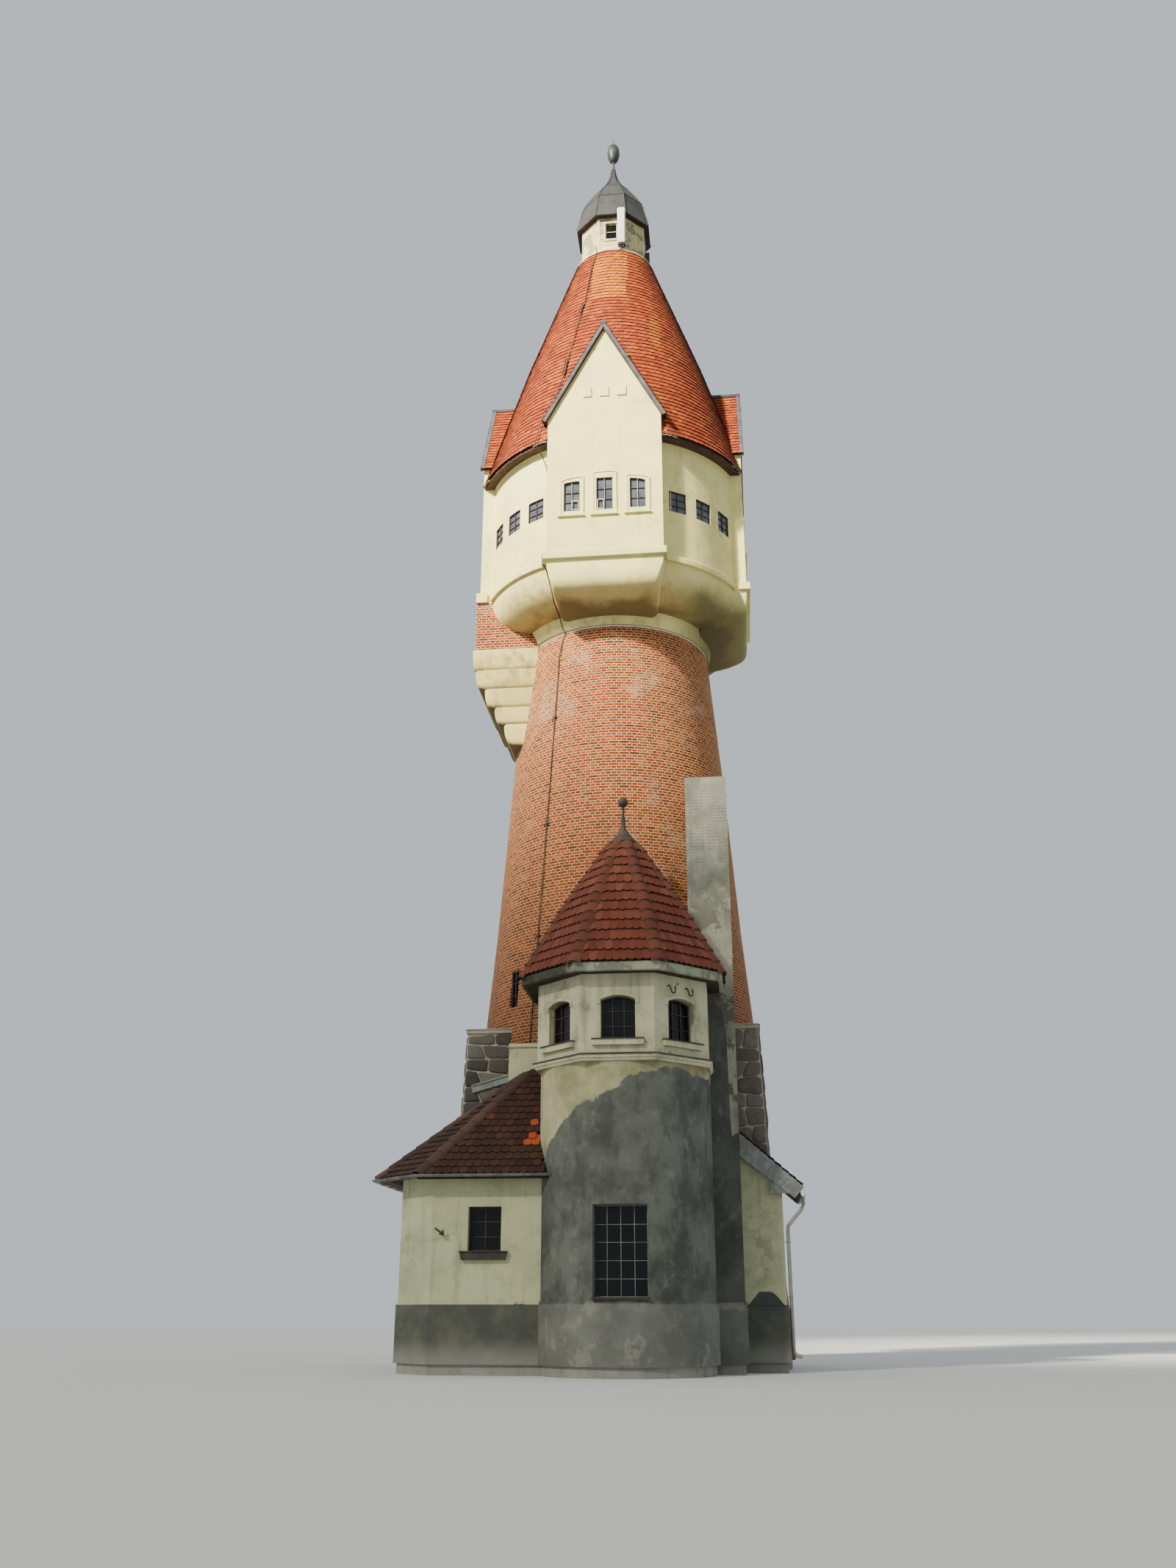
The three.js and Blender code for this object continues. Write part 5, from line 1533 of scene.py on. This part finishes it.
def make_slit():
    bars, panes = Shell(), Shell()
    place = facing(-45)
    hole = box_outline(-0.158, 0.158, 7.952, 8.848)
    window(bars, panes, place, hole, 3.21, [0], [8.25, 8.55], frame=0.03, bar=0.02)
    piece("slit_window_bars", bars, "dark")
    piece("slit_window_panes", panes, "glass")


def make_conductor():
    """The wire from the lantern down the roof, the corner of the front bay and the shaft."""
    wire = Shell()
    roof = [(-0.42, -1.16, 31.62), (-0.471, -1.261, 31.16), (-0.563, -1.453, 30.54), (-0.624, -1.711, 29.77),
            (-0.699, -2.023, 28.83),
            (-0.79, -2.16, 28.37), (-0.89, -2.394, 27.62), (-0.951, -2.582, 27.02), (-1.058, -2.718, 26.47),
            (-1.147, -2.967, 25.6),
            (-1.237, -3.05, 25.23), (-1.355, -3.14, 24.8), (-1.5, -3.19, 24.48), (-1.673, -3.24, 24.1),
            (-1.725, -3.335, 23.74),
            (-1.8, -3.47, 23.24), (-1.83, -3.58, 22.99)]
    roof = [(x * 1.012, y * 1.012, z + 0.02) for x, y, z in roof]
    wire.tube(roof, 0.014, 6)
    for z0, z1 in ((28.3, 29), (25.6, 26.4)):
        part = [(x - 0.05, y * 1.004, z) for x, y, z in curve_through(roof, 4) if z0 < z < z1]
        wire.tube(part, 0.022, 6)
    down = [roof[-1], (-1.85, -3.6, 22.9), (-1.74, -3.5, 22.72), (-1.62, -3.37, 22.45), (-1.565, -3.315, 22.25),
            (-1.56, -3.31, 21),
            (-1.56, -3.31, 19.7), (-1.6, -3.37, 19.57), (-1.63, -3.4, 19.5), (-1.63, -3.4, 19.33),
            (-1.56, -3.31, 19.22),
            (-1.535, -3.28, 19.1), (-1.485, -3.235, 18.9), (-1.44, -3.15, 18.71), (-1.405, -2.92, 18.5),
            (-1.365, -2.72, 18.39),
            (-1.335, -2.55, 18.345), (-1.315, -2.37, 18.31), (-1.25, -2.275, 18.03), (-1.19, -2.26, 17.93)]
    wire.tube(curve_through(down, 2), 0.013, 6)
    wire.tube([(-1.86, -3.62, 22.93), (-1.66, -3.48, 22.6), (-1.575, -3.33, 22.2)], 0.008, 5)
    wire.block(facing(0), -1.66, -1.6, 3.36, 3.45, 19.3, 19.62)
    line = []
    for z, angle in ((17.96, -27.8), (17.7, -29.6), (17.2, -31.1), (16, -31.1), (13, -31.7), (9.3, -32.5), (7, -32.6)):
        line.append(polar(shaft_radius(z) + 0.035, angle, z))
    wire.tube(line, 0.013, 6)
    for z, angle in ((15.45, -31.2), (12.5, -31.8), (9.6, -32.4)):
        place = facing(angle)
        r = shaft_radius(z)
        wire.block(place, -0.05, 0.05, r - 0.01, r + 0.05, z - 0.022, z + 0.022)
        wire.tube([place(-0.05, r + 0.03, z), place(-0.12, r + 0.01, z - 0.05)], 0.01, 5)
    piece("lightning_conductor", wire, "dark", smooth=40)


make_slit()
make_conductor()


# Plain CAD nodes take the scene's materials

for material, nodes in (
        ("concrete", ["ground_floor", "head_floor", "turret_floor"]),
        ("brick", ["left_bay_brickwork"]),
        ("underlay", ["main_roof_front", "main_roof_back", "turret_roof", "annex_roof",
                      "wing_roof"] + four("bay_roof", SIDES)),
        ("paint", ["lantern_wall"]),
        ("soffit", ["lantern_floor"]),
        ("flue", ["flue_pier"]),
        ("old", ["turret_cornice", "turret_upper_wall_left", "turret_upper_wall_right", "link_wall"]),
        ("annex_wall", ["annex_wall", "wing_wall"]),
        ("mortar", four("stone_pier")),
        ("board", ["wing_barge_board"])):
    for name in nodes:
        for part in frame["nodes"][name].material_slots:
            part.material = look[material]
